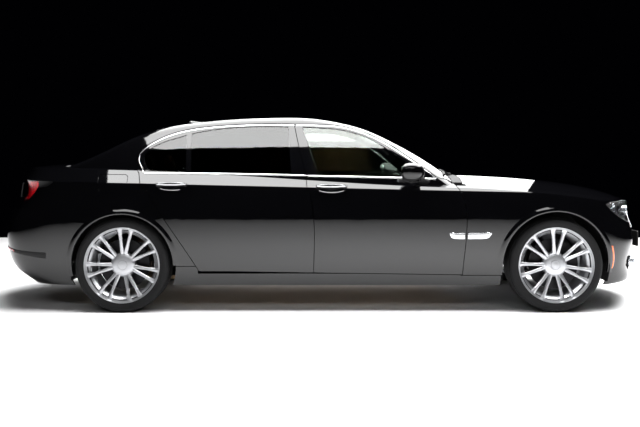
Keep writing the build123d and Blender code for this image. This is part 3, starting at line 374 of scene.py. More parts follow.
def curve_through(knots, steps=8):
    """Points of a smooth line through the knots."""
    knots = [Vector(k) for k in knots]
    ends = [2 * knots[0] - knots[1]] + knots + [2 * knots[-1] - knots[-2]]
    line = []
    for a, b, c, d in zip(ends, ends[1:], ends[2:], ends[3:]):
        for i in range(steps):
            t = i / steps
            line.append(0.5 * (2 * b + (c - a) * t + (2 * a - 5 * b + 4 * c - d) * t * t
                               + (3 * b - 3 * c + d - a) * t ** 3))
    return line + [knots[-1]]


def laid_on(tree, line, side):
    """Points and normals where a side-view line (x, z) meets the skin, seen from that side."""
    seats = []
    for x, z in line:
        hit, normal, _, _ = tree.ray_cast(Vector((x, side * 1.4, z)), Vector((0, -side, 0)))
        if hit is not None:
            seats.append((hit, normal if normal.y * side > 0 else -normal))
    return seats


STRIP_SECTION = [(-0.5, -0.6), (-0.5, 0.45), (-0.34, 0.9), (0.0, 1.0), (0.34, 0.9), (0.5, 0.45), (0.5, -0.6)]


def strip(seats, width, height, section=STRIP_SECTION, closed=False):
    """Points and faces of a strip along seated points; the width may be a function of the share run."""
    rings = []
    last = len(seats) - 1
    for i, (place, normal) in enumerate(seats):
        ahead = seats[(i + 1) % len(seats) if closed else min(i + 1, last)][0]
        behind = seats[i - 1 if closed or i else 0][0]
        across = normal.cross((ahead - behind).normalized()).normalized()
        w = width(i / last) if callable(width) else width
        rings.append([place + across * (u * w) + normal * (v * height) for u, v in section])
    return skin(rings, path_closed=closed)


SIDE_OF = {"left": 1, "right": -1}
TRIM_RUNS = {  # side view (x, z) of each run, by door
    "front_door": [[(0.872, 0.9920), (0.752, 1.0800), (0.604, 1.1840), (0.454, 1.2765), (0.304, 1.3425),
                    (0.152, 1.3820), (0.000, 1.3935), (-0.182, 1.3955)],
                   [(0.868, 0.9850), (0.600, 0.9930), (0.300, 1.0010), (-0.092, 1.0085)]],
    "rear_door": [[(-0.200, 1.3960), (-0.386, 1.3990), (-0.618, 1.3925), (-0.828, 1.3785), (-1.022, 1.3510),
                   (-1.163, 1.3095), (-1.284, 1.2500), (-1.357, 1.1900), (-1.374, 1.1400), (-1.357, 1.0890),
                   (-1.318, 1.0380)],
                  [(-1.308, 1.0290), (-0.887, 1.0260), (-0.400, 1.0180), (-0.106, 1.0120)]],
}
for place, side in SIDE_OF.items():
    for door, runs in TRIM_RUNS.items():
        body = f"{door}_{place}"
        panel = skin_tree(body, f"{door}_glass_{place}")
        for label, run, width in (("top", runs[0], 0.008), ("belt", runs[1], 0.012)):
            line = [(p.x, p.y) for p in curve_through([(x, z, 0) for x, z in run])]
            seats = laid_on(panel, line, side)
            trim = add_piece(f"window_trim_{label}_{body}", *strip(seats, width, 0.003), polished_trim)
            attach(trim, body)

# ---------------------------------------------------------------- door pulls
# Painted pull bars over an oval finger dish in the door skin. A bright cast strip is pressed onto each
# bar's outer edge, thick in the middle and drawn out thin at both ends.
PULLS = {"front_door": (-0.024, 0.196, 0.934), "rear_door": (-1.204, -0.984, 0.948)}
PULL_Y = 0.9575
PULL_SECTION = [(-0.004, -1.0), (0.0010, -0.9), (0.0024, -0.3), (0.0024, 0.3), (0.0010, 0.9), (-0.004, 1.0)]
for place, side in SIDE_OF.items():
    for door, (x0, x1, z) in PULLS.items():
        rings = []
        for i in range(17):
            t = i / 16
            bulge = math.sin(math.pi * t) ** 0.5
            x, y = x0 + (x1 - x0) * t, PULL_Y + 0.003 * bulge
            tall = 0.003 + 0.0085 * bulge
            rings.append([(x, side * (y + out), z + 0.004 + up * tall) for out, up in PULL_SECTION])
        blade = add_piece(f"pull_strip_{door}_{place}", *skin(rings), polished_trim)
        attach(blade, f"{door}_{place}")

# ---------------------------------------------------------------- side gills
# Cast bright blade with a pointed front end, let into the fender and carried over onto the door, where
# it is cut at the shut line. A thin slot runs along its middle.
GILL = [(0.955, 0.588, 0.010), (0.972, 0.578, 0.034), (0.995, 0.571, 0.046), (1.100, 0.571, 0.050),
        (1.215, 0.573, 0.048), (1.245, 0.581, 0.032), (1.264, 0.590, 0.008)]  # x, z, height
GILL_SECTION = [(-0.5, -0.5), (-0.5, 0.25), (-0.38, 0.75), (-0.20, 0.95), (-0.10, 0.98), (-0.07, 0.35),
                (0.07, 0.35), (0.10, 0.98), (0.20, 1.0), (0.38, 0.8), (0.5, 0.25), (0.5, -0.5)]
for place, side in SIDE_OF.items():
    for panel, body, low, high in ((f"front_door_{place}", f"front_door_{place}", 0.955, 1.0715),
                                   (f"fender_{place}", "root", 1.0795, 1.264)):
        line = [p for p in curve_through(GILL, 10) if low <= p.x <= high]
        seats = laid_on(skin_tree(panel), [(p.x, p.y) for p in line], side)
        heights = [p.z for p in line]
        blade = add_piece(f"gill_{panel}", *strip(
            seats, lambda t, run=heights: run[round(t * (len(run) - 1))], 0.007, GILL_SECTION), polished_trim)
        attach(blade, body)

# ---------------------------------------------------------------- arch lips
# Rolled edge of the fender and quarter panel round each wheel opening: the skin flares out a few
# millimetres and turns under. Painted with the panel.
LIP_SECTION = [(0.0, -0.016), (0.0, 0.0005), (0.003, 0.0045), (0.010, 0.0062), (0.020, 0.0055),
               (0.031, 0.0030), (0.042, 0.0004), (0.042, -0.003), (0.012, -0.016)]
ARCHES = {  # centre x, opening's radius, lip's inner radius, first and last angle, panels it runs over
    "front": (WHEELS["front_left"][0], 0.404, 0.394, -8, 186, ("fender", "front_bumper")),
    "rear": (WHEELS["rear_left"][0], 0.398, 0.374, -2, 192, ("quarter_panel", "rear_bumper"))}
LIP_SET_BACK = 0.004  # the lip starts this far outside the opening's edge
for place, side in SIDE_OF.items():
    for end, (x, radius, inner, first, last, panels) in ARCHES.items():
        panel = skin_tree(f"{panels[0]}_{place}", panels[1])
        reach = radius + LIP_SET_BACK
        line = []
        for i in range(97):
            angle = math.radians(first + (last - first) * i / 96)
            line.append((x + reach * math.cos(angle), WHEEL_Z + reach * math.sin(angle)))
        rings = []
        for hit, normal in laid_on(panel, line, side):
            out = Vector((hit.x - x, 0, hit.z - WHEEL_Z)).normalized()
            out = (out - normal * out.dot(normal)).normalized()
            foot = hit + out * (inner - reach)
            rings.append([foot + out * u + normal * v for u, v in LIP_SECTION])
        lip = add_piece(f"arch_lip_{end}_{place}", *skin(rings), black_paint, sharp=50)
        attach(lip, "root")

# ---------------------------------------------------------------- side markers and reflectors
# Moulded amber marker ahead of each front wheel, red reflector in the rear bumper's slot, and red tail lamps.
# The slot is drawn as a black strip standing on the bumper; its black is painted shade of the recess. Markers
# and reflectors are clipped in from behind and stand a little proud.
# Acrylic dyed through: a wet gloss over moulded flutes, 5 mm apart in the amber and 8 mm in the red.
acrylic = {}
for name, code, scale, strength, relief_height in (("amber_acrylic", "#c9560a", 60.0, 0.25, 0.001),
                                                   ("red_acrylic", "#b80f1a", 42.0, 0.3, 0.0015)):
    acrylic[name], tree = empty_material(name)
    on_piece = add(tree, "ShaderNodeTexCoord").outputs["Object"]
    flutes = add(tree, "ShaderNodeTexWave", {"Vector": on_piece, "Scale": scale}, bands_direction="Z")
    relief = add(tree, "ShaderNodeBump", {
        "Height": flutes.outputs["Fac"], "Strength": strength, "Distance": relief_height})
    shader = add(tree, "ShaderNodeBsdfPrincipled", {
        "Base Color": srgb(code), "Roughness": 0.12, "Coat Weight": 1.0, "Normal": relief.outputs[0]})
    add(tree, "ShaderNodeOutputMaterial", {"Surface": shader.outputs[0]})

MARKERS = {  # bumper, finish, slot, width, height, side-view line (x, z)
    "marker": ("front_bumper", acrylic["amber_acrylic"], "dark_plastic", 0.014, 0.003,
               [(2.168, 0.492), (2.180, 0.440), (2.186, 0.390), (2.184, 0.350), (2.176, 0.322)]),
    # The slot's black strip is painted shade of a recess, narrowing towards the tail.
    "rear_slot_shade": ("rear_bumper", black_plastic, "dark_plastic", lambda t: 0.046 - 0.030 * t, 0.003,
                  [(-2.030, 0.420), (-2.120, 0.428), (-2.220, 0.438), (-2.330, 0.452), (-2.420, 0.462)]),
    "rear_reflector": ("rear_bumper", acrylic["red_acrylic"], "red_lens", 0.016, 0.006,
                       [(-2.300, 0.449), (-2.350, 0.454), (-2.405, 0.460)])}
for place, side in SIDE_OF.items():
    for label, (node, finish, slot_name, width, height, line) in MARKERS.items():
        line = [(p.x, p.y) for p in curve_through([(x, z, 0) for x, z in line], 6)]
        seats = laid_on(skin_tree(node), line, side)
        lens = add_piece(f"{label}_{place}", *strip(seats, width, height), finish)
        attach(lens, "root")
for node in ("tail_lamps", "lid_lamps"):
    nodes[node].material_slots[0].material = acrylic["red_acrylic"]

# ---------------------------------------------------------------- nose: grille frame, plates, fog lamps
# One plated frame lines the grille opening, and lacquered bars stand behind it. Blank pressed plates are
# screwed to flat holders on the bumper and in the boot lid's recess. Fog lamps sit in the lower corners.
# Satin lacquer on moulded bars: black, with a soft broken gloss.
satin_black, tree = empty_material("satin_black_lacquer")
shader = add(tree, "ShaderNodeBsdfPrincipled", {
    "Base Color": srgb("#101113"), "Roughness": 0.32, "Coat Weight": 0.3, "Coat Roughness": 0.2})
add(tree, "ShaderNodeOutputMaterial", {"Surface": shader.outputs[0]})
for node in ("grille", "lower_grille"):
    nodes[node].material_slots[0].material = satin_black


def faced(tree, outline, way):
    """Points and normals where an outline (y, z) meets the skin; way is 1 for the nose, -1 for the tail."""
    seats = []
    for y, z in outline:
        hit, normal, _, _ = tree.ray_cast(Vector((way * 3.0, y, z)), Vector((-way, 0, 0)))
        if hit is not None:
            seats.append((hit, normal if normal.x * way > 0 else -normal))
    return seats


GRILLE_HALF = [(0.000, 0.581), (0.256, 0.586), (0.360, 0.636), (0.381, 0.702), (0.346, 0.759), (0.254, 0.780),
               (0.000, 0.786)]
nose = skin_tree("front_bumper", "hood")


def bent_outline(half, steps):
    """Closed outline from its left half, with points evenly spaced along each side."""
    points = []
    for (y0, z0), (y1, z1) in zip(half, half[1:]):
        for i in range(steps):
            t = i / steps
            points.append((y0 + (y1 - y0) * t, z0 + (z1 - z0) * t))
    points.append(half[-1])
    return points + [(-y, z) for y, z in reversed(points[1:-1])]


frame_seats = faced(nose, bent_outline(GRILLE_HALF, 8), 1)
grille_frame = add_piece("grille_frame", *strip(frame_seats, 0.011, 0.004, closed=True), polished_trim)
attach(grille_frame, "root")

# Pressed aluminium plate, enamelled off-white and left blank: even, with a soft gloss.
plate_enamel, tree = empty_material("plate_enamel")
shader = add(tree, "ShaderNodeBsdfPrincipled", {"Base Color": srgb("#d9d9d4"), "Roughness": 0.35})
add(tree, "ShaderNodeOutputMaterial", {"Surface": shader.outputs[0]})


def plate(name, body, x, way, z, wide, tall, tilt):
    """Blank plate with a rolled rim on a thin dark holder, facing along way."""
    for label, grow, back, front, finish, slot_name in (
            ("holder", 0.006, -0.010, 0.0, black_plastic, "dark_plastic"),
            ("plate", 0.0, 0.0004, 0.0024, plate_enamel, "wheel_alloy")):
        rings = []
        for out, inset in ((back, 0.0), (front - 0.0008, 0.0), (front, 0.0012), (front, 0.006),
                           (front - 0.0012, 0.009), (front - 0.0012, 0.05)):
            w, h, r = wide / 2 + grow - inset, tall / 2 + grow - inset, max(0.002, 0.012 - inset)
            ring = []
            corners = ((w - r, h - r), (r - w, h - r), (r - w, r - h), (w - r, r - h))
            for quarter, (cy, cz) in enumerate(corners):
                for k in range(5):
                    a = math.radians(90 * quarter + 22.5 * k)
                    y, up = cy + r * math.cos(a), cz + r * math.sin(a)
                    ring.append((x + way * (out - up * math.tan(tilt)), y, z + up))
            rings.append(ring)
        piece = add_piece(f"{name}_{label}", *skin(rings), finish)
        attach(piece, body)


FRONT_PLATE_Z, REAR_PLATE_Z = 0.487, 0.887
front_x = faced(nose, [(0, 0.49)], 1)[0][0].x
plate("front_plate", "root", front_x + 0.004, 1, FRONT_PLATE_Z, 0.520, 0.112, 0.0)
levels = (0.840, 0.862, 0.887, 0.912, 0.932)
recess = faced(skin_tree("boot_lid"), [(0.04 * k, z) for k in range(-6, 7) for z in levels], -1)
lean = math.atan2(sum(normal.z for _, normal in recess), -sum(normal.x for _, normal in recess))
rear_x = min(hit.x - (hit.z - REAR_PLATE_Z) * math.tan(lean) for hit, _ in recess)
plate("rear_plate", "boot_lid", rear_x - 0.002, -1, REAR_PLATE_Z, 0.505, 0.106, lean)

# Moulded polycarbonate with a hard coat: clear and glossy, and it bends the light only a little.
clear_lens, tree = empty_material("clear_polycarbonate")
shader = add(tree, "ShaderNodeBsdfPrincipled", {
    "Base Color": srgb("#f4f6f8"), "Roughness": 0.02, "IOR": 1.2, "Transmission Weight": 1.0, "Alpha": 0.35})
add(tree, "ShaderNodeOutputMaterial", {"Surface": shader.outputs[0]})

# Bowls plated in a vacuum: a cool bright mirror.
bright_bowl, tree = empty_material("vacuum_plated_bowl")
shader = add(tree, "ShaderNodeBsdfPrincipled", {
    "Base Color": srgb("#c9cdd2"), "Metallic": 1.0, "Roughness": 0.18})
add(tree, "ShaderNodeOutputMaterial", {"Surface": shader.outputs[0]})


def round_lamp(name, centre, aim, radius, depth):
    """Plated bowl with a stepped bezel and a domed glass lens, looking along aim."""
    turn = Vector(aim).to_track_quat("Y", "Z").to_matrix().to_4x4()
    bowl = [(radius, 0.0), (radius * 0.94, 0.004), (radius * 0.88, 0.0), (radius * 0.80, -depth * 0.35),
            (radius * 0.45, -depth * 0.8), (0.0001, -depth * 0.9), (0.0001, -depth),
            (radius * 0.9, -depth * 0.8), (radius * 1.02, -depth * 0.3), (radius * 1.02, 0.0)]
    lens = [(radius * 0.50, -depth * 0.62), (radius * 0.48, -depth * 0.42), (radius * 0.38, -depth * 0.22),
            (radius * 0.20, -depth * 0.10), (0.0001, -depth * 0.06), (0.0001, -depth * 0.7),
            (radius * 0.45, -depth * 0.7)]
    for label, profile, finish in (("bowl", bowl, bright_bowl), ("lens", lens, glass["green_tinted_glass"])):
        piece = add_piece(f"{name}_{label}", *skin(turned(profile, 40), path_closed=True), finish)
        piece.data.transform(Matrix.Translation(centre) @ turn)
        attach(piece, "root")


for place, side in SIDE_OF.items():
    round_lamp(f"fog_lamp_{place}", (2.412, side * 0.655, 0.350), (1, side * 0.12, 0.02), 0.040, 0.050)

# ---------------------------------------------------------------- headlamps
# Sealed units bonded together: a thin clear cover follows the fender's skin, and two plated projector
# bowls stand in a dark moulded housing behind it.
PROJECTORS = ((2.395, 0.560, 0.735, 0.040), (2.335, 0.665, 0.742, 0.038))  # x, y, z, radius
for place, side in SIDE_OF.items():
    cover = bmesh.new()
    cover.from_mesh(nodes["headlamps"].data)
    bmesh.ops.remove_doubles(cover, verts=cover.verts, dist=1e-5)
    bmesh.ops.delete(cover, geom=[v for v in cover.verts if v.co.y * side < 0], context="VERTS")
    cover.normal_update()
    housing = cover.copy()
    outward = Vector((0.75, side * 0.6, 0.28))
    for shell, keeps_front in ((cover, True), (housing, False)):
        far = [f for f in shell.faces if (f.normal.dot(outward) > 0.35) != keeps_front]
        bmesh.ops.delete(shell, geom=far, context="FACES")
    bmesh.ops.reverse_faces(housing, faces=housing.faces)
    for label, shell, finish, wall in (("cover", cover, clear_lens, 0.0025),
                                       ("housing", housing, satin_black, 0.002)):
        mesh = bpy.data.meshes.new(f"headlamp_{label}_{place}")
        shell.to_mesh(mesh)
        shell.free()
        mesh.shade_smooth()
        mesh.set_sharp_from_angle(angle=math.radians(35))
        mesh.materials.append(finish)
        piece = bpy.data.objects.new(mesh.name, mesh)
        bpy.context.scene.collection.objects.link(piece)
        inward = piece.modifiers.new("wall", "SOLIDIFY")
        inward.thickness, inward.offset = wall, -1.0
        settle(piece)
        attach(piece, "root")
        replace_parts(piece, "headlamps")
    for k, (x, y, z, radius) in enumerate(PROJECTORS):
        round_lamp(f"projector_{k}_{place}", (x, side * y, z), (1, side * 0.25, 0.02), radius, 0.050)

# ---------------------------------------------------------------- door mirrors
# Moulded shell painted black, on a dark foot screwed to the door's front corner, with a mirror glass
# clipped into its rear face.
# Silvered glass: a mirror with hardly any colour.
mirror_silver, tree = empty_material("silvered_glass")
shader = add(tree, "ShaderNodeBsdfPrincipled", {
    "Base Color": srgb("#e6eaee"), "Metallic": 1.0, "Roughness": 0.02})
add(tree, "ShaderNodeOutputMaterial", {"Surface": shader.outputs[0]})
MIRROR_RINGS = [  # y, centre x, centre z, half length, half height
    (0.903, 0.700, 1.000, 0.034, 0.022), (0.915, 0.690, 1.010, 0.058, 0.042),
    (0.935, 0.680, 1.022, 0.076, 0.060), (0.965, 0.676, 1.031, 0.086, 0.068),
    (1.010, 0.673, 1.036, 0.089, 0.070), (1.050, 0.668, 1.040, 0.086, 0.067),
    (1.078, 0.660, 1.044, 0.075, 0.058), (1.094, 0.650, 1.048, 0.054, 0.042),
    (1.102, 0.642, 1.050, 0.026, 0.020)]


def squared(share, power):
    """A cosine or sine pushed out towards 1, which turns a round outline into a squarer one."""
    return math.copysign(abs(share) ** power, share)


for place, side in SIDE_OF.items():
    body = f"front_door_{place}"
    rings = []
    for y, cx, cz, half_x, half_z in MIRROR_RINGS:
        ring = []
        for k in range(28):
            c, s = math.cos(math.tau * k / 28), math.sin(math.tau * k / 28)
            across = squared(c, 0.55) * half_x * 0.94 if c < 0 else squared(c, 0.85) * half_x
            ring.append((cx + across, side * y, cz + squared(s, 0.8) * half_z))
        rings.append(ring)
    case = add_piece(f"mirror_case_{place}", *skin(rings), black_paint, sharp=60)
    smooth = case.modifiers.new("smooth", "SUBSURF")
    smooth.levels = smooth.render_levels = 1
    settle(case)
    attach(case, body)
    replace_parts(case, f"mirror_{place}")
    rings = []
    for i in range(7):
        t = i / 6
        half_x, half_z = 0.046 - 0.010 * t, 0.020 + 0.010 * t
        rings.append([(0.775 - 0.075 * t + half_x * math.cos(math.tau * k / 16), side * (0.845 + 0.095 * t),
                       0.966 + 0.034 * t + half_z * math.sin(math.tau * k / 16)) for k in range(16)])
    foot = add_piece(f"mirror_foot_{place}", *skin(rings), black_plastic, sharp=60)
    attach(foot, body)
    outline = [(side * (1.006 + 0.078 * squared(math.cos(math.tau * k / 24), 0.6)),
                1.037 + 0.054 * squared(math.sin(math.tau * k / 24), 0.6)) for k in range(24)]
    rings = [[(x, y, z) for y, z in outline] for x in (0.611, 0.607)]
    pane = add_piece(f"mirror_glass_{place}", *skin(rings), mirror_silver)
    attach(pane, body)

# ---------------------------------------------------------------- roof fin and wipers
# Painted antenna fin, bonded to the roof's rear, and two black wiper arms on their spindles, parked at
# the foot of the windscreen.
FIN_REAR, FIN_LENGTH, FIN_HEIGHT = -1.130, 0.160, 0.052
roof_tree = skin_tree("roof")
rings = []
for i in range(11):
    t = i / 10
    x = FIN_REAR + FIN_LENGTH * t
    tall = FIN_HEIGHT * ((1 - t) ** 0.62 if t > 0.12 else (0.35 + 5.0 * t) * 0.92)
    half_y = 0.019 * math.sin(math.pi * min(1, 0.12 + 0.88 * t)) ** 0.5 + 0.002
    foot_z = roof_tree.ray_cast(Vector((x, 0, 2)), Vector((0, 0, -1)))[0].z - 0.004
    rings.append([(x, half_y * math.cos(math.pi * k / 12), foot_z + tall * math.sin(math.pi * k / 12) ** 0.8)
                  for k in range(13)])
fin = add_piece("antenna_fin", *skin(rings), black_paint, sharp=60)
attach(fin, "root")

screen = skin_tree("windscreen", "cowl", "roof")


def dropped(tree, line):
    """Points and normals where a plan line (x, y) meets the skin from above."""
    seats = []
    for x, y in line:
        hit, normal, _, _ = tree.ray_cast(Vector((x, y, 2.0)), Vector((0, 0, -1)))
        if hit is not None:
            seats.append((hit, normal if normal.z > 0 else -normal))
    return seats


BLADE_SECTION = [(-0.5, 0.0), (-0.5, 0.5), (-0.2, 1.0), (0.2, 1.0), (0.5, 0.5), (0.5, 0.0)]
WIPERS = {  # plan line (x, y) of the blade and of the arm
    "left": ([(0.985, 0.62), (0.990, 0.30), (1.008, -0.02)], [(1.075, 0.44), (1.030, 0.40), (0.990, 0.33)]),
    "right": ([(1.000, -0.06), (0.992, -0.32), (0.960, -0.62)],
              [(1.085, -0.14), (1.035, -0.22), (0.992, -0.32)])}
for label, (blade, arm) in WIPERS.items():
    for part, line, width, height in (("blade", blade, 0.012, 0.016), ("arm", arm, 0.018, 0.022)):
        path = [(p.x, p.y) for p in curve_through([(x, y, 0) for x, y in line], 8)]
        points, faces = strip(dropped(screen, path), width, height, BLADE_SECTION)
        piece = add_piece(f"wiper_{part}_{label}", points, faces, black_plastic)
        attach(piece, "root")

# ---------------------------------------------------------------- steering wheel
# Magnesium ring and three spokes foamed over and wrapped in black leather, with a padded horn cover.
# It turns on the column shroud that comes out of the dashboard.
# Black leather, shrunk on and stitched: a low sheen broken by pebbled grain of about 2 mm.
black_leather, tree = empty_material("black_wrapped_leather")
on_piece = add(tree, "ShaderNodeTexCoord").outputs["Object"]
cells = add(tree, "ShaderNodeTexVoronoi", {"Vector": on_piece, "Scale": 620.0})
grain = add(tree, "ShaderNodeBump", {
    "Height": cells.outputs["Distance"], "Strength": 0.2, "Distance": 0.0004})
shader = add(tree, "ShaderNodeBsdfPrincipled", {
    "Base Color": srgb("#161516"), "Roughness": 0.5, "Normal": grain.outputs[0]})
add(tree, "ShaderNodeOutputMaterial", {"Surface": shader.outputs[0]})


def rounded_block(half, power, cuts=10, shaped=lambda p: p):
    """Points and faces of a crowned block: its sides bulge and its corners are drawn in."""
    block = bmesh.new()
    bmesh.ops.create_cube(block, size=2.0)
    bmesh.ops.subdivide_edges(block, edges=block.edges[:], cuts=cuts, use_grid_fill=True)
    points = []
    for v in block.verts:
        reach = sum(abs(c) ** power for c in v.co) ** (-1 / power)
        points.append(shaped(Vector([c * reach * h for c, h in zip(v.co, half)])))
    faces = [tuple(v.index for v in f.verts) for f in block.faces]
    block.free()
    return points, faces


DRIVER_Y = 0.370
WHEEL_SEAT = Matrix.Translation((0.520, DRIVER_Y, 0.790)) @ Matrix.Rotation(math.radians(24), 4, "Y")
RIM_RADIUS = 0.183
FORWARD, LEFTWARD, UPWARD = Vector((1, 0, 0)), Vector((0, 1, 0)), Vector((0, 0, 1))


def rounded_section(place, along, up, wide, tall):
    """Oval ring of points round a place, wide along one direction and tall along the other."""
    return [place + along * (wide * math.cos(math.tau * k / 14)) + up * (tall * math.sin(math.tau * k / 14))
            for k in range(14)]


rings = []
for i in range(72):
    a = math.tau * i / 72
    out = Vector((0, math.cos(a), math.sin(a)))
    rings.append(rounded_section(out * RIM_RADIUS, out, FORWARD, 0.0145, 0.0165))
parts = [add_piece("ring", *skin(rings, path_closed=True), black_leather)]
for angle, thick in ((0, 0.020), (180, 0.020), (270, 0.024)):
    out = Vector((0, math.cos(math.radians(angle)), math.sin(math.radians(angle))))
    side = Vector((0, -out.z, out.y))
    rings = []
    for i in range(9):
        t = i / 8
        middle = out * (0.040 + 0.142 * t) + FORWARD * (0.012 * (1 - t) ** 1.5)
        wide = thick * (1 - 0.45 * math.sin(math.pi * t) ** 0.8)
        rings.append(rounded_section(middle, side, FORWARD, wide, 0.0065 + 0.003 * (1 - t)))
    parts.append(add_piece("spoke", *skin(rings), black_leather))


def horn_form(p):
    """Horn cover, wider at the top."""
    return Vector((p.x + 0.008, p.y * (1 + 1.6 * p.z), p.z - 0.004))


horn = add_piece("cover", *rounded_block((0.024, 0.070, 0.058), 2.8, 8, horn_form), black_leather)
wheel = joined("steering_wheel_leather", parts + [horn])
wheel.data.transform(WHEEL_SEAT)
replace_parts(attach(wheel, "steering_wheel"), "steering_wheel")

# ---------------------------------------------------------------- dashboard and console
# Foam-backed leather dash top in black with a hood over the instruments, a walnut strip across it, four
# air vents and a blank screen. The tunnel console is tan leather with a walnut top.
# Tan leather, dyed through and softly buffed: warm, a little cloudy in tone, with 2 mm pebbled grain.
tan_leather, tree = empty_material("tan_nappa_leather")
on_piece = add(tree, "ShaderNodeTexCoord").outputs["Object"]
cells = add(tree, "ShaderNodeTexVoronoi", {"Vector": on_piece, "Scale": 480.0})
grain = add(tree, "ShaderNodeBump", {
    "Height": cells.outputs["Distance"], "Strength": 0.25, "Distance": 0.0005})
cloud = add(tree, "ShaderNodeTexNoise", {"Vector": on_piece, "Scale": 6.0, "Detail": 3.0})
tone = add(tree, "ShaderNodeMix", {
    0: cloud.outputs["Fac"], 6: srgb("#a47e55"), 7: srgb("#b6916a")}, data_type="RGBA")
shader = add(tree, "ShaderNodeBsdfPrincipled", {
    "Base Color": tone.outputs[2], "Roughness": 0.48, "Normal": grain.outputs[0]})
add(tree, "ShaderNodeOutputMaterial", {"Surface": shader.outputs[0]})

# Walnut veneer under a thick polished lacquer: dark streaks along the grain, a deep gloss over them.
walnut, tree = empty_material("lacquered_walnut")
on_piece = add(tree, "ShaderNodeTexCoord").outputs["Object"]
stretch = add(tree, "ShaderNodeMapping", {"Vector": on_piece, "Scale": (14.0, 3.0, 30.0)})
streaks = add(tree, "ShaderNodeTexNoise", {
    "Vector": stretch.outputs[0], "Scale": 3.0, "Detail": 6.0, "Distortion": 1.2})
tone = add(tree, "ShaderNodeMix", {
    0: streaks.outputs["Fac"], 6: srgb("#2b1710"), 7: srgb("#7a4a2c")}, data_type="RGBA")
shader = add(tree, "ShaderNodeBsdfPrincipled", {
    "Base Color": tone.outputs[2], "Roughness": 0.3, "Coat Weight": 1.0, "Coat Roughness": 0.03})
add(tree, "ShaderNodeOutputMaterial", {"Surface": shader.outputs[0]})

# Dark glass over the screen and the dials, switched off: a black gloss.
dark_screen, tree = empty_material("dark_screen_glass")
shader = add(tree, "ShaderNodeBsdfPrincipled", {
    "Base Color": srgb("#08090b"), "Roughness": 0.08, "Coat Weight": 1.0})
add(tree, "ShaderNodeOutputMaterial", {"Surface": shader.outputs[0]})

DASH_HALF = 0.735
DASH_SECTION = [(1.078, 0.868), (1.030, 0.894), (0.960, 0.912), (0.880, 0.917), (0.810, 0.914),
                (0.755, 0.902), (0.714, 0.878), (0.698, 0.852), (0.697, 0.828), (0.704, 0.812),
                (0.706, 0.780), (0.702, 0.730), (0.712, 0.680), (0.752, 0.622), (0.812, 0.562),
                (0.872, 0.530), (0.960, 0.540), (1.078, 0.566)]


def dash_end(y):
    """How far the dashboard's ends draw back towards the windscreen."""
    return 0.020 * (abs(y) / DASH_HALF) ** 6


def dash_at(y):
    """Section of the dashboard at y, with the hood over the instruments raised."""
    hood = math.exp(-((y - DRIVER_Y) / 0.150) ** 4)
    points = []
    for i, (x, z) in enumerate(DASH_SECTION):
        back = 0.020 * hood if 4 < i < 7 else 0.0
        lift = 0.030 * hood if 3 < i < 7 else 0.0
        points.append((x + dash_end(y) - back, y, z + lift - dash_end(y) * 0.5))
    return points


rings = [dash_at(-0.732 + 1.464 * i / 60) for i in range(61)]
dash = add_piece("dashboard_skin", *skin(rings), black_leather, sharp=50)
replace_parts(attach(dash, "root"), "dashboard")
rings = []
for i in range(41):
    y = -0.690 + 1.380 * i / 40
    front = 0.695 + dash_end(y)
    rings.append([(front, y, 0.830), (front - 0.003, y, 0.833), (front - 0.003, y, 0.849), (front, y, 0.852),
                  (front + 0.012, y, 0.852), (front + 0.012, y, 0.830)])
veneer = add_piece("dashboard_walnut", *skin(rings), walnut)
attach(veneer, "root")

LOUVRE_SECTION = [(0.690, 0.0), (0.7065, 0.006), (0.7065, 0.0075), (0.690, 0.0015)]
VENT_FRAME = [(0.010, 0.0), (-0.004, 0.0), (-0.006, 0.002), (-0.004, 0.005), (0.012, 0.005)]  # depth, growth
for k, (y, wide) in enumerate(((-0.630, 0.056), (-0.085, 0.050), (0.085, 0.050), (0.630, 0.056))):
    parts = []
    for level in range(5):
        z = 0.742 + 0.0125 * level
        rings = [[(x, y + wide * u, z + up) for x, up in LOUVRE_SECTION] for u in (-0.92, -0.3, 0.3, 0.92)]
        parts.append(add_piece("louvre", *skin(rings), black_plastic))
    louvres = joined(f"vent_louvres_{k}", parts)
    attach(louvres, "root")
    rings = []
    for c in range(32):
        u, v = squared(math.cos(math.tau * c / 32), 0.35), squared(math.sin(math.tau * c / 32), 0.35)
        rings.append([(0.6935 + depth, y + (wide + grow) * u, 0.7705 + (0.034 + grow) * v)
                      for depth, grow in VENT_FRAME])
    surround = add_piece(f"vent_frame_{k}", *skin(rings, path_closed=True), polished_trim)
    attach(surround, "root")
for name, y, z, half_y, half_z in (("centre_screen", 0.0, 0.893, 0.130, 0.020),
                                   ("instrument_glass", DRIVER_Y, 0.880, 0.120, 0.026)):
    outline = [(half_y * squared(math.cos(math.tau * c / 32), 0.3),
                half_z * squared(math.sin(math.tau * c / 32), 0.5)) for c in range(32)]
    rings = [[(x + 0.35 * v, y + u, z + v) for u, v in outline] for x in (0.730, 0.706, 0.704)]
    pane = add_piece(name, *skin(rings), dark_screen)
    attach(pane, "root")

# Column shroud and its two stalks, moulded in black, behind the steering wheel.
rings = []
for i in range(9):
    t = i / 8
    rings.append([(0.045 + 0.200 * t, (0.034 + 0.022 * t) * math.cos(math.tau * k / 20),
                   (0.034 + 0.026 * t) * math.sin(math.tau * k / 20) - 0.004) for k in range(20)])
shroud = add_piece("column_shroud", *skin(rings), black_plastic, sharp=60)
shroud.data.transform(WHEEL_SEAT)
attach(shroud, "root")
for place, side in SIDE_OF.items():
    rings = [rounded_section(Vector((0.075 + 0.010 * t, side * (0.030 + 0.115 * t), 0.012 + 0.010 * t)),
                             FORWARD, UPWARD, 0.0045, 0.006 + 0.004 * t)
             for t in (0, 0.25, 0.5, 0.75, 0.95, 1.0)]
    stalk = add_piece(f"column_stalk_{place}", *skin(rings), black_plastic)
    stalk.data.transform(WHEEL_SEAT)
    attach(stalk, "root")

# Console: leather shell over the tunnel, walnut plate, bright turned knob and cup rings, selector lever.
CONSOLE_TOP, CONSOLE_FOOT = 0.512, 0.358


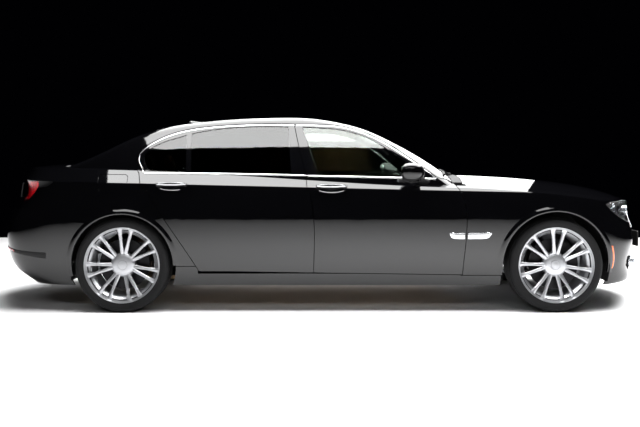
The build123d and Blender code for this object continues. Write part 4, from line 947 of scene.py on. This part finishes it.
def console_rise(x):
    """How far the console's top climbs towards the dashboard."""
    return 0.085 * max(0.0, (x - 0.38) / 0.40) ** 1.6


rings = []
for i in range(41):
    x = -0.418 + 1.200 * i / 40
    top = CONSOLE_TOP + console_rise(x)
    half = 0.108 - 0.010 * math.sin(math.pi * (x + 0.42) / 1.2)
    flank = [(half, CONSOLE_FOOT), (half, top - 0.040), (half - 0.004, top - 0.022),
             (half - 0.014, top - 0.008), (half - 0.030, top)]
    rings.append([(x, y, z) for y, z in flank + [(0.0, top + 0.002)] + [(-y, z) for y, z in reversed(flank)]])
tunnel = add_piece("console_shell", *skin(rings), tan_leather, sharp=50)
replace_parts(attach(tunnel, "root"), "centre_console")

TOP_PLATE_SECTION = [(-1, 0.0), (-0.95, 0.0035), (0.95, 0.0035), (1, 0.0), (0.9, -0.004), (-0.9, -0.004)]
rings = []
for i in range(25):
    x = 0.050 + 0.560 * i / 24
    rings.append([(x, share * 0.070, CONSOLE_TOP + 0.0015 + console_rise(x) + up)
                  for share, up in TOP_PLATE_SECTION])
top_plate = add_piece("console_walnut", *skin(rings), walnut)
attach(top_plate, "root")

LAID_ROUND = Matrix.Rotation(math.radians(90), 4, "X")
FITTINGS_Z = 0.5190
KNOB = [(0.0001, 0.018), (0.020, 0.017), (0.0225, 0.014), (0.0235, 0.002), (0.026, 0.000), (0.026, -0.004),
        (0.0001, -0.004)]
knob = add_piece("console_knob", *skin(turned(KNOB, 48), path_closed=True), polished_trim)
knob.data.transform(Matrix.Translation((0.110, 0.0, FITTINGS_Z)) @ LAID_ROUND)
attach(knob, "root")
rings = [rounded_section(Vector((0.262 - 0.030 * t, 0.0, 0.517 + 0.085 * t)), FORWARD, LEFTWARD,
                         0.012 + 0.012 * t ** 3, 0.011 + 0.007 * t ** 3)
         for t in (0, 0.2, 0.4, 0.6, 0.8, 0.92)]
rings.append(rounded_section(Vector((0.231, 0.0, 0.604)), FORWARD, LEFTWARD, 0.014, 0.010))
lever = add_piece("selector_lever", *skin(rings), black_leather, sharp=70)
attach(lever, "root")
CUP_RING = [(0.034, 0.002), (0.037, 0.004), (0.039, 0.000), (0.036, -0.004), (0.0335, -0.002)]
for k, x in enumerate((0.380, 0.475)):
    ring = add_piece(f"cup_ring_{k}", *skin(turned(CUP_RING, 48), path_closed=True), polished_trim)
    ring.data.transform(Matrix.Translation((x, 0.0, FITTINGS_Z + console_rise(x))) @ LAID_ROUND)
    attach(ring, "root")

# ---------------------------------------------------------------- door trims
# Moulded inner panels clipped to the doors: black leather roll under the window, tan leather below with an
# armrest that swells out, a walnut strip, a bright pull and a speaker ring.
TRIM_AREAS = {  # height of each level from the bottom up, and its two ends in x
    "front_door": [(0.372, 0.055, 0.925), (0.450, 0.048, 0.968), (0.560, 0.042, 0.982),
                   (0.700, 0.040, 0.986), (0.800, 0.038, 0.986), (0.915, 0.036, 0.966)],
    "rear_door": [(0.384, -0.825, -0.132), (0.450, -0.880, -0.132), (0.560, -0.955, -0.132),
                  (0.700, -1.052, -0.132), (0.800, -1.098, -0.132), (0.915, -1.150, -0.132)]}
WOOD_SECTION = [(0.772, 0.794), (0.757, 0.794), (0.754, 0.797), (0.754, 0.807), (0.757, 0.810),
                (0.772, 0.810)]
SPEAKER = [(0.0001, 0.004), (0.050, 0.003), (0.056, 0.006), (0.060, 0.004), (0.061, -0.002),
           (0.0001, -0.002)]
CARD_IN, CARD_OUT = 0.755, 0.800  # the door's inner card lies between these


def level_edges(levels, z):
    """The trim's two ends in x at a height."""
    for (z0, a0, b0), (z1, a1, b1) in zip(levels, levels[1:]):
        if z <= z1 or z1 == levels[-1][0]:
            t = (z - z0) / (z1 - z0)
            return a0 + (a1 - a0) * t, b0 + (b1 - b0) * t


def ramp(value, start, run):
    """Climbs from 0 at the start to 1 after the run."""
    return min(1.0, max(0.0, (value - start) / run))


def swell(z, t):
    """How far the trim stands off the door: armrest and map pocket over an even sheet."""
    arm = 0.052 * math.exp(-((z - 0.640) / 0.040) ** 2) * ramp(t, 0.06, 0.12) * ramp(0.90 - t, 0, 0.14)
    pocket = 0.030 * math.exp(-((z - 0.440) / 0.055) ** 4) * ramp(t, 0.05, 0.10) * ramp(0.95 - t, 0, 0.1)
    return 0.007 + arm + pocket


for place, side in SIDE_OF.items():
    for door, levels in TRIM_AREAS.items():
        body = f"{door}_{place}"
        panel = skin_tree(body)
        for label, low, high, rows, finish in (("lower", levels[0][0], 0.792, 30, tan_leather),
                                               ("roll", 0.812, levels[-1][0], 9, black_leather)):
            rings = []
            for r in range(rows + 1):
                z = low + (high - low) * r / rows
                x0, x1 = level_edges(levels, z)
                edge = max(0.12, min(1.0, min(r, rows - r) / 1.5))
                ring = []
                for c in range(37):
                    t = c / 36
                    x = x0 + (x1 - x0) * t
                    hit = panel.ray_cast(Vector((x, side * 0.45, z)), Vector((0, side, 0)))[0]
                    y = max(CARD_IN, min(abs(hit.y) if hit is not None else 0.772, CARD_OUT))
                    rise = swell(z, t) if label == "lower" else 0.010 + 0.012 * math.sin(math.pi * r / rows)
                    ring.append((x, side * (y - rise * edge * (1.0 if 0 < c < 36 else 0.12)), z))
                ring += [(x1, side * (y + 0.0015), z), (x0, side * (y + 0.0015), z)]
                rings.append(ring)
            trim = add_piece(f"trim_{label}_{body}", *skin(rings), finish, sharp=60)
            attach(trim, body)
        x0, x1 = level_edges(levels, 0.802)
        rings = [[(x0 + 0.02 + (x1 - x0 - 0.04) * c / 24, side * y, z) for y, z in WOOD_SECTION]
                 for c in range(25)]
        wood = add_piece(f"trim_walnut_{body}", *skin(rings), walnut)
        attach(wood, body)
        rings = []
        for k in range(13):
            t = k / 12
            middle = Vector((x1 - 0.20 - 0.13 * t, side * (0.748 - 0.022 * math.sin(math.pi * t)), 0.742))
            rings.append(rounded_section(middle, LEFTWARD, UPWARD, 0.006, 0.011))
        pull = add_piece(f"inner_pull_{body}", *skin(rings), polished_trim)
        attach(pull, body)
        disc = add_piece(f"speaker_{body}", *skin(turned(SPEAKER, 48), path_closed=True), black_plastic)
        disc.data.transform(Matrix.Translation((x1 - 0.115, side * 0.763, 0.520))
                            @ Matrix.Rotation(0 if side < 0 else math.pi, 4, "Z"))
        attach(disc, body)

# ---------------------------------------------------------------- seats
# Moulded foam pads in sewn tan leather covers: front cushions, backs and head restraints on plinths, and a
# rear bench shaped for three. Each pad is blown up under its cover, then its seams are drawn in.
PAD_VOXEL = 0.018
PAD_TRAVEL = 0.012
SEAM_DEPTH = 0.006
SEAM_WIDTH = 0.006


def stuffed(name, half, power, across, along, shaped):
    """Pad on its own axes, top towards +Z; across and along are the places of its sewn channels."""
    pad = add_piece(name, *rounded_block(half, power, 14, shaped), tan_leather, sharp=80)
    even = pad.modifiers.new("even", "REMESH")
    even.mode, even.voxel_size = "VOXEL", PAD_VOXEL
    settle(pad)
    home = [v.co.copy() for v in pad.data.vertices]
    cover = pad.modifiers.new("cover", "CLOTH")
    cover.settings.use_pressure = True
    cover.settings.uniform_pressure_force = 4.0
    cover.settings.effector_weights.gravity = 0.0
    cover.settings.quality = 2
    for step in range(1, 21):
        bpy.context.scene.frame_set(step)
    settle(pad)
    bpy.context.scene.frame_set(1)
    for v, start in zip(pad.data.vertices, home):
        moved = v.co - start
        if moved.length > PAD_TRAVEL:
            v.co = start + moved.normalized() * PAD_TRAVEL
    smooth = pad.modifiers.new("smooth", "SUBSURF")
    smooth.levels = smooth.render_levels = 1
    settle(pad)
    inner = max(along) if along else 1.0
    for v in pad.data.vertices:
        if v.normal.z > 0.15:
            near = [abs(v.co.x - x) for x in across if abs(v.co.y) < inner]
            near += [abs(abs(v.co.y) - y) for y in along]
            v.co.z -= sum(SEAM_DEPTH * math.exp(-(gap / SEAM_WIDTH) ** 2) for gap in near)
    pad.data.materials.clear()
    pad.data.materials.append(tan_leather)
    pad.data.shade_smooth()
    return pad


def laid_flat(x, y, z, tilt):
    """Place of a cushion: its front edge raised by the tilt."""
    return Matrix.Translation((x, y, z)) @ Matrix.Rotation(-math.radians(tilt), 4, "Y")


def stood_up(x, y, z, tilt):
    """Place of a back pad: its top faces forward, and it leans back by the tilt."""
    a = math.radians(tilt)
    turn = Matrix(((-math.sin(a), 0, math.cos(a)), (0, -1, 0), (math.cos(a), 0, math.sin(a)))).to_4x4()
    return Matrix.Translation((x, y, z)) @ turn


def even_form(p):
    """A pad with no bolsters."""
    return p


def cushion_form(p):
    """Bolsters along both sides, narrower and lower towards the knees."""
    bolster = 0.022 * ramp(abs(p.y), 0.155, 0.055) if p.z > 0 else 0.0
    return Vector((p.x, p.y * (1 - 0.10 * max(0, p.x)), p.z + bolster - 0.9 * max(0.0, p.x - 0.16) ** 2))


def back_form(p):
    """Bolsters that fade towards the shoulders, where the back draws in."""
    bolster = 0.026 * ramp(abs(p.y), 0.150, 0.06) * (1 - max(0, p.x) / 0.36) if p.z > 0 else 0.0
    return Vector((p.x, p.y * (1 - 0.16 * max(0.0, p.x / 0.32) ** 2), p.z + bolster))


FRONT_SEAT_Y, REAR_SEAT_Y = 0.385, 0.405
PADS = [  # name, half sizes, squareness, channels across and along, form, places
    ("front_cushion", (0.255, 0.245, 0.056), 4.5, (-0.13, -0.07, -0.01, 0.05, 0.11), (0.165,), cushion_form,
     [(f"_{p}", laid_flat(0.190, s * FRONT_SEAT_Y, 0.428, 5)) for p, s in SIDE_OF.items()]),
    ("front_back", (0.305, 0.245, 0.050), 4.5, (-0.20, -0.14, -0.08, -0.02, 0.04, 0.10), (0.158,), back_form,
     [(f"_{p}", stood_up(-0.058, s * FRONT_SEAT_Y, 0.725, 18)) for p, s in SIDE_OF.items()]),
    ("head_restraint", (0.078, 0.128, 0.036), 3.6, (), (), even_form,
     [(f"_front_{p}", stood_up(-0.182, s * FRONT_SEAT_Y, 1.098, 14)) for p, s in SIDE_OF.items()]
     + [(f"_rear_{p}", stood_up(-1.352, s * REAR_SEAT_Y, 1.098, 14)) for p, s in SIDE_OF.items()]),
    ("rear_cushion", (0.265, 0.232, 0.078), 4.5, (-0.13, -0.06, 0.01, 0.08, 0.15), (0.150,), cushion_form,
     [(f"_{p}", laid_flat(-0.998, s * REAR_SEAT_Y, 0.462, 4)) for p, s in SIDE_OF.items()]),
    ("rear_cushion_middle", (0.262, 0.160, 0.074), 4.5, (), (0.110,), even_form,
     [("", laid_flat(-1.0, 0, 0.458, 4))]),
    ("rear_back", (0.292, 0.232, 0.048), 4.5, (-0.16, -0.10, -0.04, 0.02, 0.08), (0.150,), back_form,
     [(f"_{p}", stood_up(-1.258, s * REAR_SEAT_Y, 0.738, 14)) for p, s in SIDE_OF.items()]),
    ("rear_back_middle", (0.288, 0.160, 0.046), 4.5, (), (0.110,), even_form,
     [("", stood_up(-1.258, 0, 0.736, 14))])]
STANDS_FOR = {"front_cushion_left": "front_seats", "rear_cushion_left": "rear_seat"}
for name, half, power, across, along, shaped, seats in PADS:
    pattern = stuffed(name, half, power, across, along, shaped)
    for ending, seat in seats:
        pad = bpy.data.objects.new(f"{name}{ending}_pad", pattern.data.copy())
        bpy.context.scene.collection.objects.link(pad)
        pad.data.transform(seat)
        if name + ending in STANDS_FOR:
            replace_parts(pad, STANDS_FOR[name + ending])
        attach(pad, "root")
    bpy.data.objects.remove(pattern)


def plinth_form(p):
    """Plinth that spreads towards its top."""
    return Vector((p.x * (1 + 0.8 * p.z), p.y * (1 + 0.5 * p.z), p.z))


# Moulded plinths under the cushions, leather-faced shells behind the backs, and the restraints' steel rods.
RODS = (("front", -0.174, FRONT_SEAT_Y, 1.020, 0.060), ("rear", -1.345, REAR_SEAT_Y, 1.032, 0.050))
for place, side in SIDE_OF.items():
    base = add_piece(f"seat_plinth_{place}", *rounded_block((0.205, 0.205, 0.066), 7, 8, plinth_form),
                     black_plastic)
    base.data.transform(Matrix.Translation((0.200, side * FRONT_SEAT_Y, 0.302)))
    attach(base, "root")
    shell = add_piece(f"seat_back_shell_{place}", *rounded_block((0.285, 0.215, 0.012), 5, 10, back_form),
                      black_leather)
    shell.data.transform(stood_up(-0.121, side * FRONT_SEAT_Y, 0.722, 18))
    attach(shell, "root")
    rods = []
    for offset in (-0.052, 0.052):
        for row, x, y, z, tall in RODS:
            rings = []
            for t in (0, 0.5, 1):
                middle = Vector((x - 0.25 * t * tall, side * y + offset, z - 0.03 + tall * t * 1.3))
                rings.append(rounded_section(middle, FORWARD, LEFTWARD, 0.006, 0.006))
            rods.append(add_piece(f"{row}_rod", *skin(rings), polished_trim))
    stalks = joined(f"restraint_rods_{place}", rods)
    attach(stalks, "root")
plinth = add_piece("rear_seat_plinth", *rounded_block((0.245, 0.600, 0.022), 8, 10), black_plastic)
plinth.data.transform(Matrix.Translation((-1.010, 0, 0.380)))
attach(plinth, "root")

# ---------------------------------------------------------------- carpet and headliner
# Tufted carpet moulded over the floor pan and the rear bulkhead, and a pale woven headliner, glued to a
# moulded shell and clipped up under the roof.
# Tufted pile: no gloss, two browns mixed tuft by tuft, with tufts drawn about 4 mm apart.
carpet, tree = empty_material("tufted_carpet")
on_piece = add(tree, "ShaderNodeTexCoord").outputs["Object"]
pile = add(tree, "ShaderNodeTexNoise", {"Vector": on_piece, "Scale": 260.0, "Detail": 2.0})
tone = add(tree, "ShaderNodeMix", {
    0: pile.outputs["Fac"], 6: srgb("#5c4a35"), 7: srgb("#8d7656")}, data_type="RGBA")
tufts = add(tree, "ShaderNodeBump", {"Height": pile.outputs["Fac"], "Strength": 0.8, "Distance": 0.003})
shader = add(tree, "ShaderNodeBsdfPrincipled", {
    "Base Color": tone.outputs[2], "Roughness": 0.95, "Sheen Weight": 0.4, "Normal": tufts.outputs[0]})
add(tree, "ShaderNodeOutputMaterial", {"Surface": shader.outputs[0]})
for node in ("floor_pan", "rear_bulkhead"):
    nodes[node].material_slots[0].material = carpet

# Knitted cloth: pale, matt and faintly rough, with loops drawn about 1.4 mm apart.
headliner_cloth, tree = empty_material("woven_headliner")
on_piece = add(tree, "ShaderNodeTexCoord").outputs["Object"]
weave = add(tree, "ShaderNodeTexNoise", {"Vector": on_piece, "Scale": 700.0})
knit = add(tree, "ShaderNodeBump", {"Height": weave.outputs["Fac"], "Strength": 0.3, "Distance": 0.0006})
shader = add(tree, "ShaderNodeBsdfPrincipled", {
    "Base Color": srgb("#b9b2a6"), "Roughness": 0.9, "Sheen Weight": 0.2, "Normal": knit.outputs[0]})
add(tree, "ShaderNodeOutputMaterial", {"Surface": shader.outputs[0]})
LINER_HALF = 0.540
rings = []
for i in range(49):
    x = -1.150 + 1.440 * i / 48
    ring = []
    for k in range(33):
        y = LINER_HALF * (k / 16 - 1)
        hit = roof_tree.ray_cast(Vector((x, y, 1.0)), Vector((0, 0, 1)))[0]
        low = hit.z if hit is not None else 1.40
        turned_up = 0.007 * max(abs(i - 24) / 24, abs(k - 16) / 16) ** 12
        ring.append((x, y, low - 0.010 + turned_up))
    ring += [(x, LINER_HALF, low - 0.0015), (x, -LINER_HALF, low - 0.0015)]
    rings.append(ring)
liner = add_piece("headliner", *skin(rings), headliner_cloth, sharp=60)
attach(liner, "root")

# ---------------------------------------------------------------- brakes, axles and underbody
# Bolted-up running gear: cast knuckles with their calipers, a cast rear axle, a coated front subframe, and
# two welded stainless silencers with their pipes, hung on straps.
# Sand-cast aluminium: dull grey, pitted by sand grains drawn about 3 mm wide.
cast_aluminium, tree = empty_material("sand_cast_aluminium")
on_piece = add(tree, "ShaderNodeTexCoord").outputs["Object"]
sand = add(tree, "ShaderNodeTexNoise", {"Vector": on_piece, "Scale": 340.0})
pits = add(tree, "ShaderNodeBump", {"Height": sand.outputs["Fac"], "Strength": 0.5, "Distance": 0.0008})
shader = add(tree, "ShaderNodeBsdfPrincipled", {
    "Base Color": srgb("#8b8d90"), "Metallic": 0.9, "Roughness": 0.55, "Normal": pits.outputs[0]})
add(tree, "ShaderNodeOutputMaterial", {"Surface": shader.outputs[0]})

# Dipped black coating on pressed steel: a half gloss over slow ripples, about 11 mm long.
chassis_black, tree = empty_material("chassis_black_coating")
on_piece = add(tree, "ShaderNodeTexCoord").outputs["Object"]
peel = add(tree, "ShaderNodeTexNoise", {"Vector": on_piece, "Scale": 90.0})
skinned = add(tree, "ShaderNodeBump", {"Height": peel.outputs["Fac"], "Strength": 0.2, "Distance": 0.001})
shader = add(tree, "ShaderNodeBsdfPrincipled", {
    "Base Color": srgb("#1a1a1b"), "Roughness": 0.5, "Normal": skinned.outputs[0]})
add(tree, "ShaderNodeOutputMaterial", {"Surface": shader.outputs[0]})

# Stainless steel that has been hot: bright metal, clouded brown in broad patches.
stainless, tree = empty_material("stainless_pipe")
on_piece = add(tree, "ShaderNodeTexCoord").outputs["Object"]
heat = add(tree, "ShaderNodeTexNoise", {"Vector": on_piece, "Scale": 9.0, "Detail": 3.0})
tone = add(tree, "ShaderNodeMix", {
    0: heat.outputs["Fac"], 6: srgb("#6d6660"), 7: srgb("#a8a4a0")}, data_type="RGBA")
shader = add(tree, "ShaderNodeBsdfPrincipled", {
    "Base Color": tone.outputs[2], "Metallic": 1.0, "Roughness": 0.32})
add(tree, "ShaderNodeOutputMaterial", {"Surface": shader.outputs[0]})

for node in ("front_knuckle_left", "front_knuckle_right", "rear_axle", "engine_block"):
    nodes[node].material_slots[0].material = cast_aluminium
nodes["front_subframe"].material_slots[0].material = chassis_black
PIPES = ((0.031, -2.000, -1.560), (0.030, -2.340, -2.240))  # radius, rear end, front end
ALONG_CAR = Matrix.Rotation(-math.radians(90), 4, "Z")
parts = []
for side in (1, -1):
    silencer = add_piece("silencer", *rounded_block((0.150, 0.108, 0.050), 4.5, 8), stainless)
    silencer.data.transform(Matrix.Translation((-2.104, side * 0.410, 0.278)))
    parts.append(silencer)
    for radius, start, end in PIPES:
        profile = [(radius, start), (radius + 0.001, start + 0.004), (radius, end), (radius - 0.003, end),
                   (radius - 0.003, start)]
        pipe = add_piece("pipe", *skin(turned(profile, 32), path_closed=True), stainless)
        pipe.data.transform(Matrix.Translation((0, side * 0.430, 0.262)) @ ALONG_CAR)
        parts.append(pipe)
    rings = [rounded_section(Vector((-2.140, side * 0.420, z)), FORWARD, LEFTWARD, 0.008, 0.014)
             for z in (0.310, 0.400, 0.484)]
    parts.append(add_piece("hanger", *skin(rings), stainless))
exhaust = joined("exhaust_pipes", parts)
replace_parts(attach(exhaust, "root"), "exhaust")
# Moulded skirts carry the arch liners down in front of and behind each wheel.
SKIRT_IN, SKIRT_OUT, SKIRT_WALL = 0.700, 0.880, 0.005
for name, (wheel_x, _, side) in WHEELS.items():
    radius = 0.402 if name.startswith("front") else 0.396
    section = [(radius, SKIRT_IN), (radius, SKIRT_OUT), (radius + SKIRT_WALL, SKIRT_OUT + SKIRT_WALL),
               (radius + SKIRT_WALL, SKIRT_IN)]
    for label, first, last in (("ahead", -18, 2), ("behind", 178, 197)):
        rings = []
        for i in range(9):
            a = math.radians(first + (last - first) * i / 8)
            c, s = math.cos(a), math.sin(a)
            rings.append([(wheel_x + r * c, side * y, WHEEL_Z + r * s) for r, y in section])
        skirt = add_piece(f"liner_skirt_{label}_{name}", *skin(rings), black_plastic)
        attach(skirt, "root")

# ---------------------------------------------------------------- engine bay
# Moulded acoustic cover with raised ribs, pressed onto studs over the engine, an air box with its ribbed
# duct, and a battery box.
COVER_SECTION = [(-1, -0.045), (-1, -0.012), (-0.94, -0.002), (-0.70, 0.002), (-0.62, 0.011), (-0.36, 0.013),
                 (-0.28, 0.004), (0, 0.006), (0.28, 0.004), (0.36, 0.013), (0.62, 0.011), (0.70, 0.002),
                 (0.94, -0.002), (1, -0.012), (1, -0.045)]  # share of the half width, height
rings = []
for i in range(25):
    t = i / 24
    lift = 0.784 - 0.018 * t + 0.010 * math.sin(math.pi * t)
    half = 0.245 * (1 - 0.25 * abs(2 * t - 1) ** 8)
    rings.append([(1.185 + 0.690 * t, share * half, lift + up) for share, up in COVER_SECTION])
engine_cover = add_piece("engine_cover", *skin(rings), satin_black, sharp=45)
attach(engine_cover, "root")


def box_form(p):
    """Box with the draft that lets it out of its mould."""
    return Vector((p.x * (1 - 0.6 * p.z), p.y * (1 - 0.6 * p.z), p.z))


for label, middle, half in (("air_box", (2.020, 0.430, 0.610), (0.110, 0.120, 0.080)),
                            ("battery_box", (1.340, -0.450, 0.600), (0.130, 0.120, 0.090))):
    case = add_piece(label, *rounded_block(half, 6, 8, box_form), black_plastic)
    case.data.transform(Matrix.Translation(middle))
    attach(case, "root")
duct = curve_through([(1.960, 0.330, 0.650), (1.945, 0.240, 0.690), (1.930, 0.120, 0.700),
                      (1.905, 0.050, 0.690)], 6)
rings = []
for i, middle in enumerate(duct):
    ahead = (duct[min(i + 1, len(duct) - 1)] - duct[max(i - 1, 0)]).normalized()
    across = ahead.cross(UPWARD).normalized()
    radius = 0.034 + (0.003 if i % 2 else 0.0)
    rings.append(rounded_section(middle, across, across.cross(ahead), radius, radius))
tube = add_piece("intake_duct", *skin(rings), black_plastic, sharp=70)
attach(tube, "root")
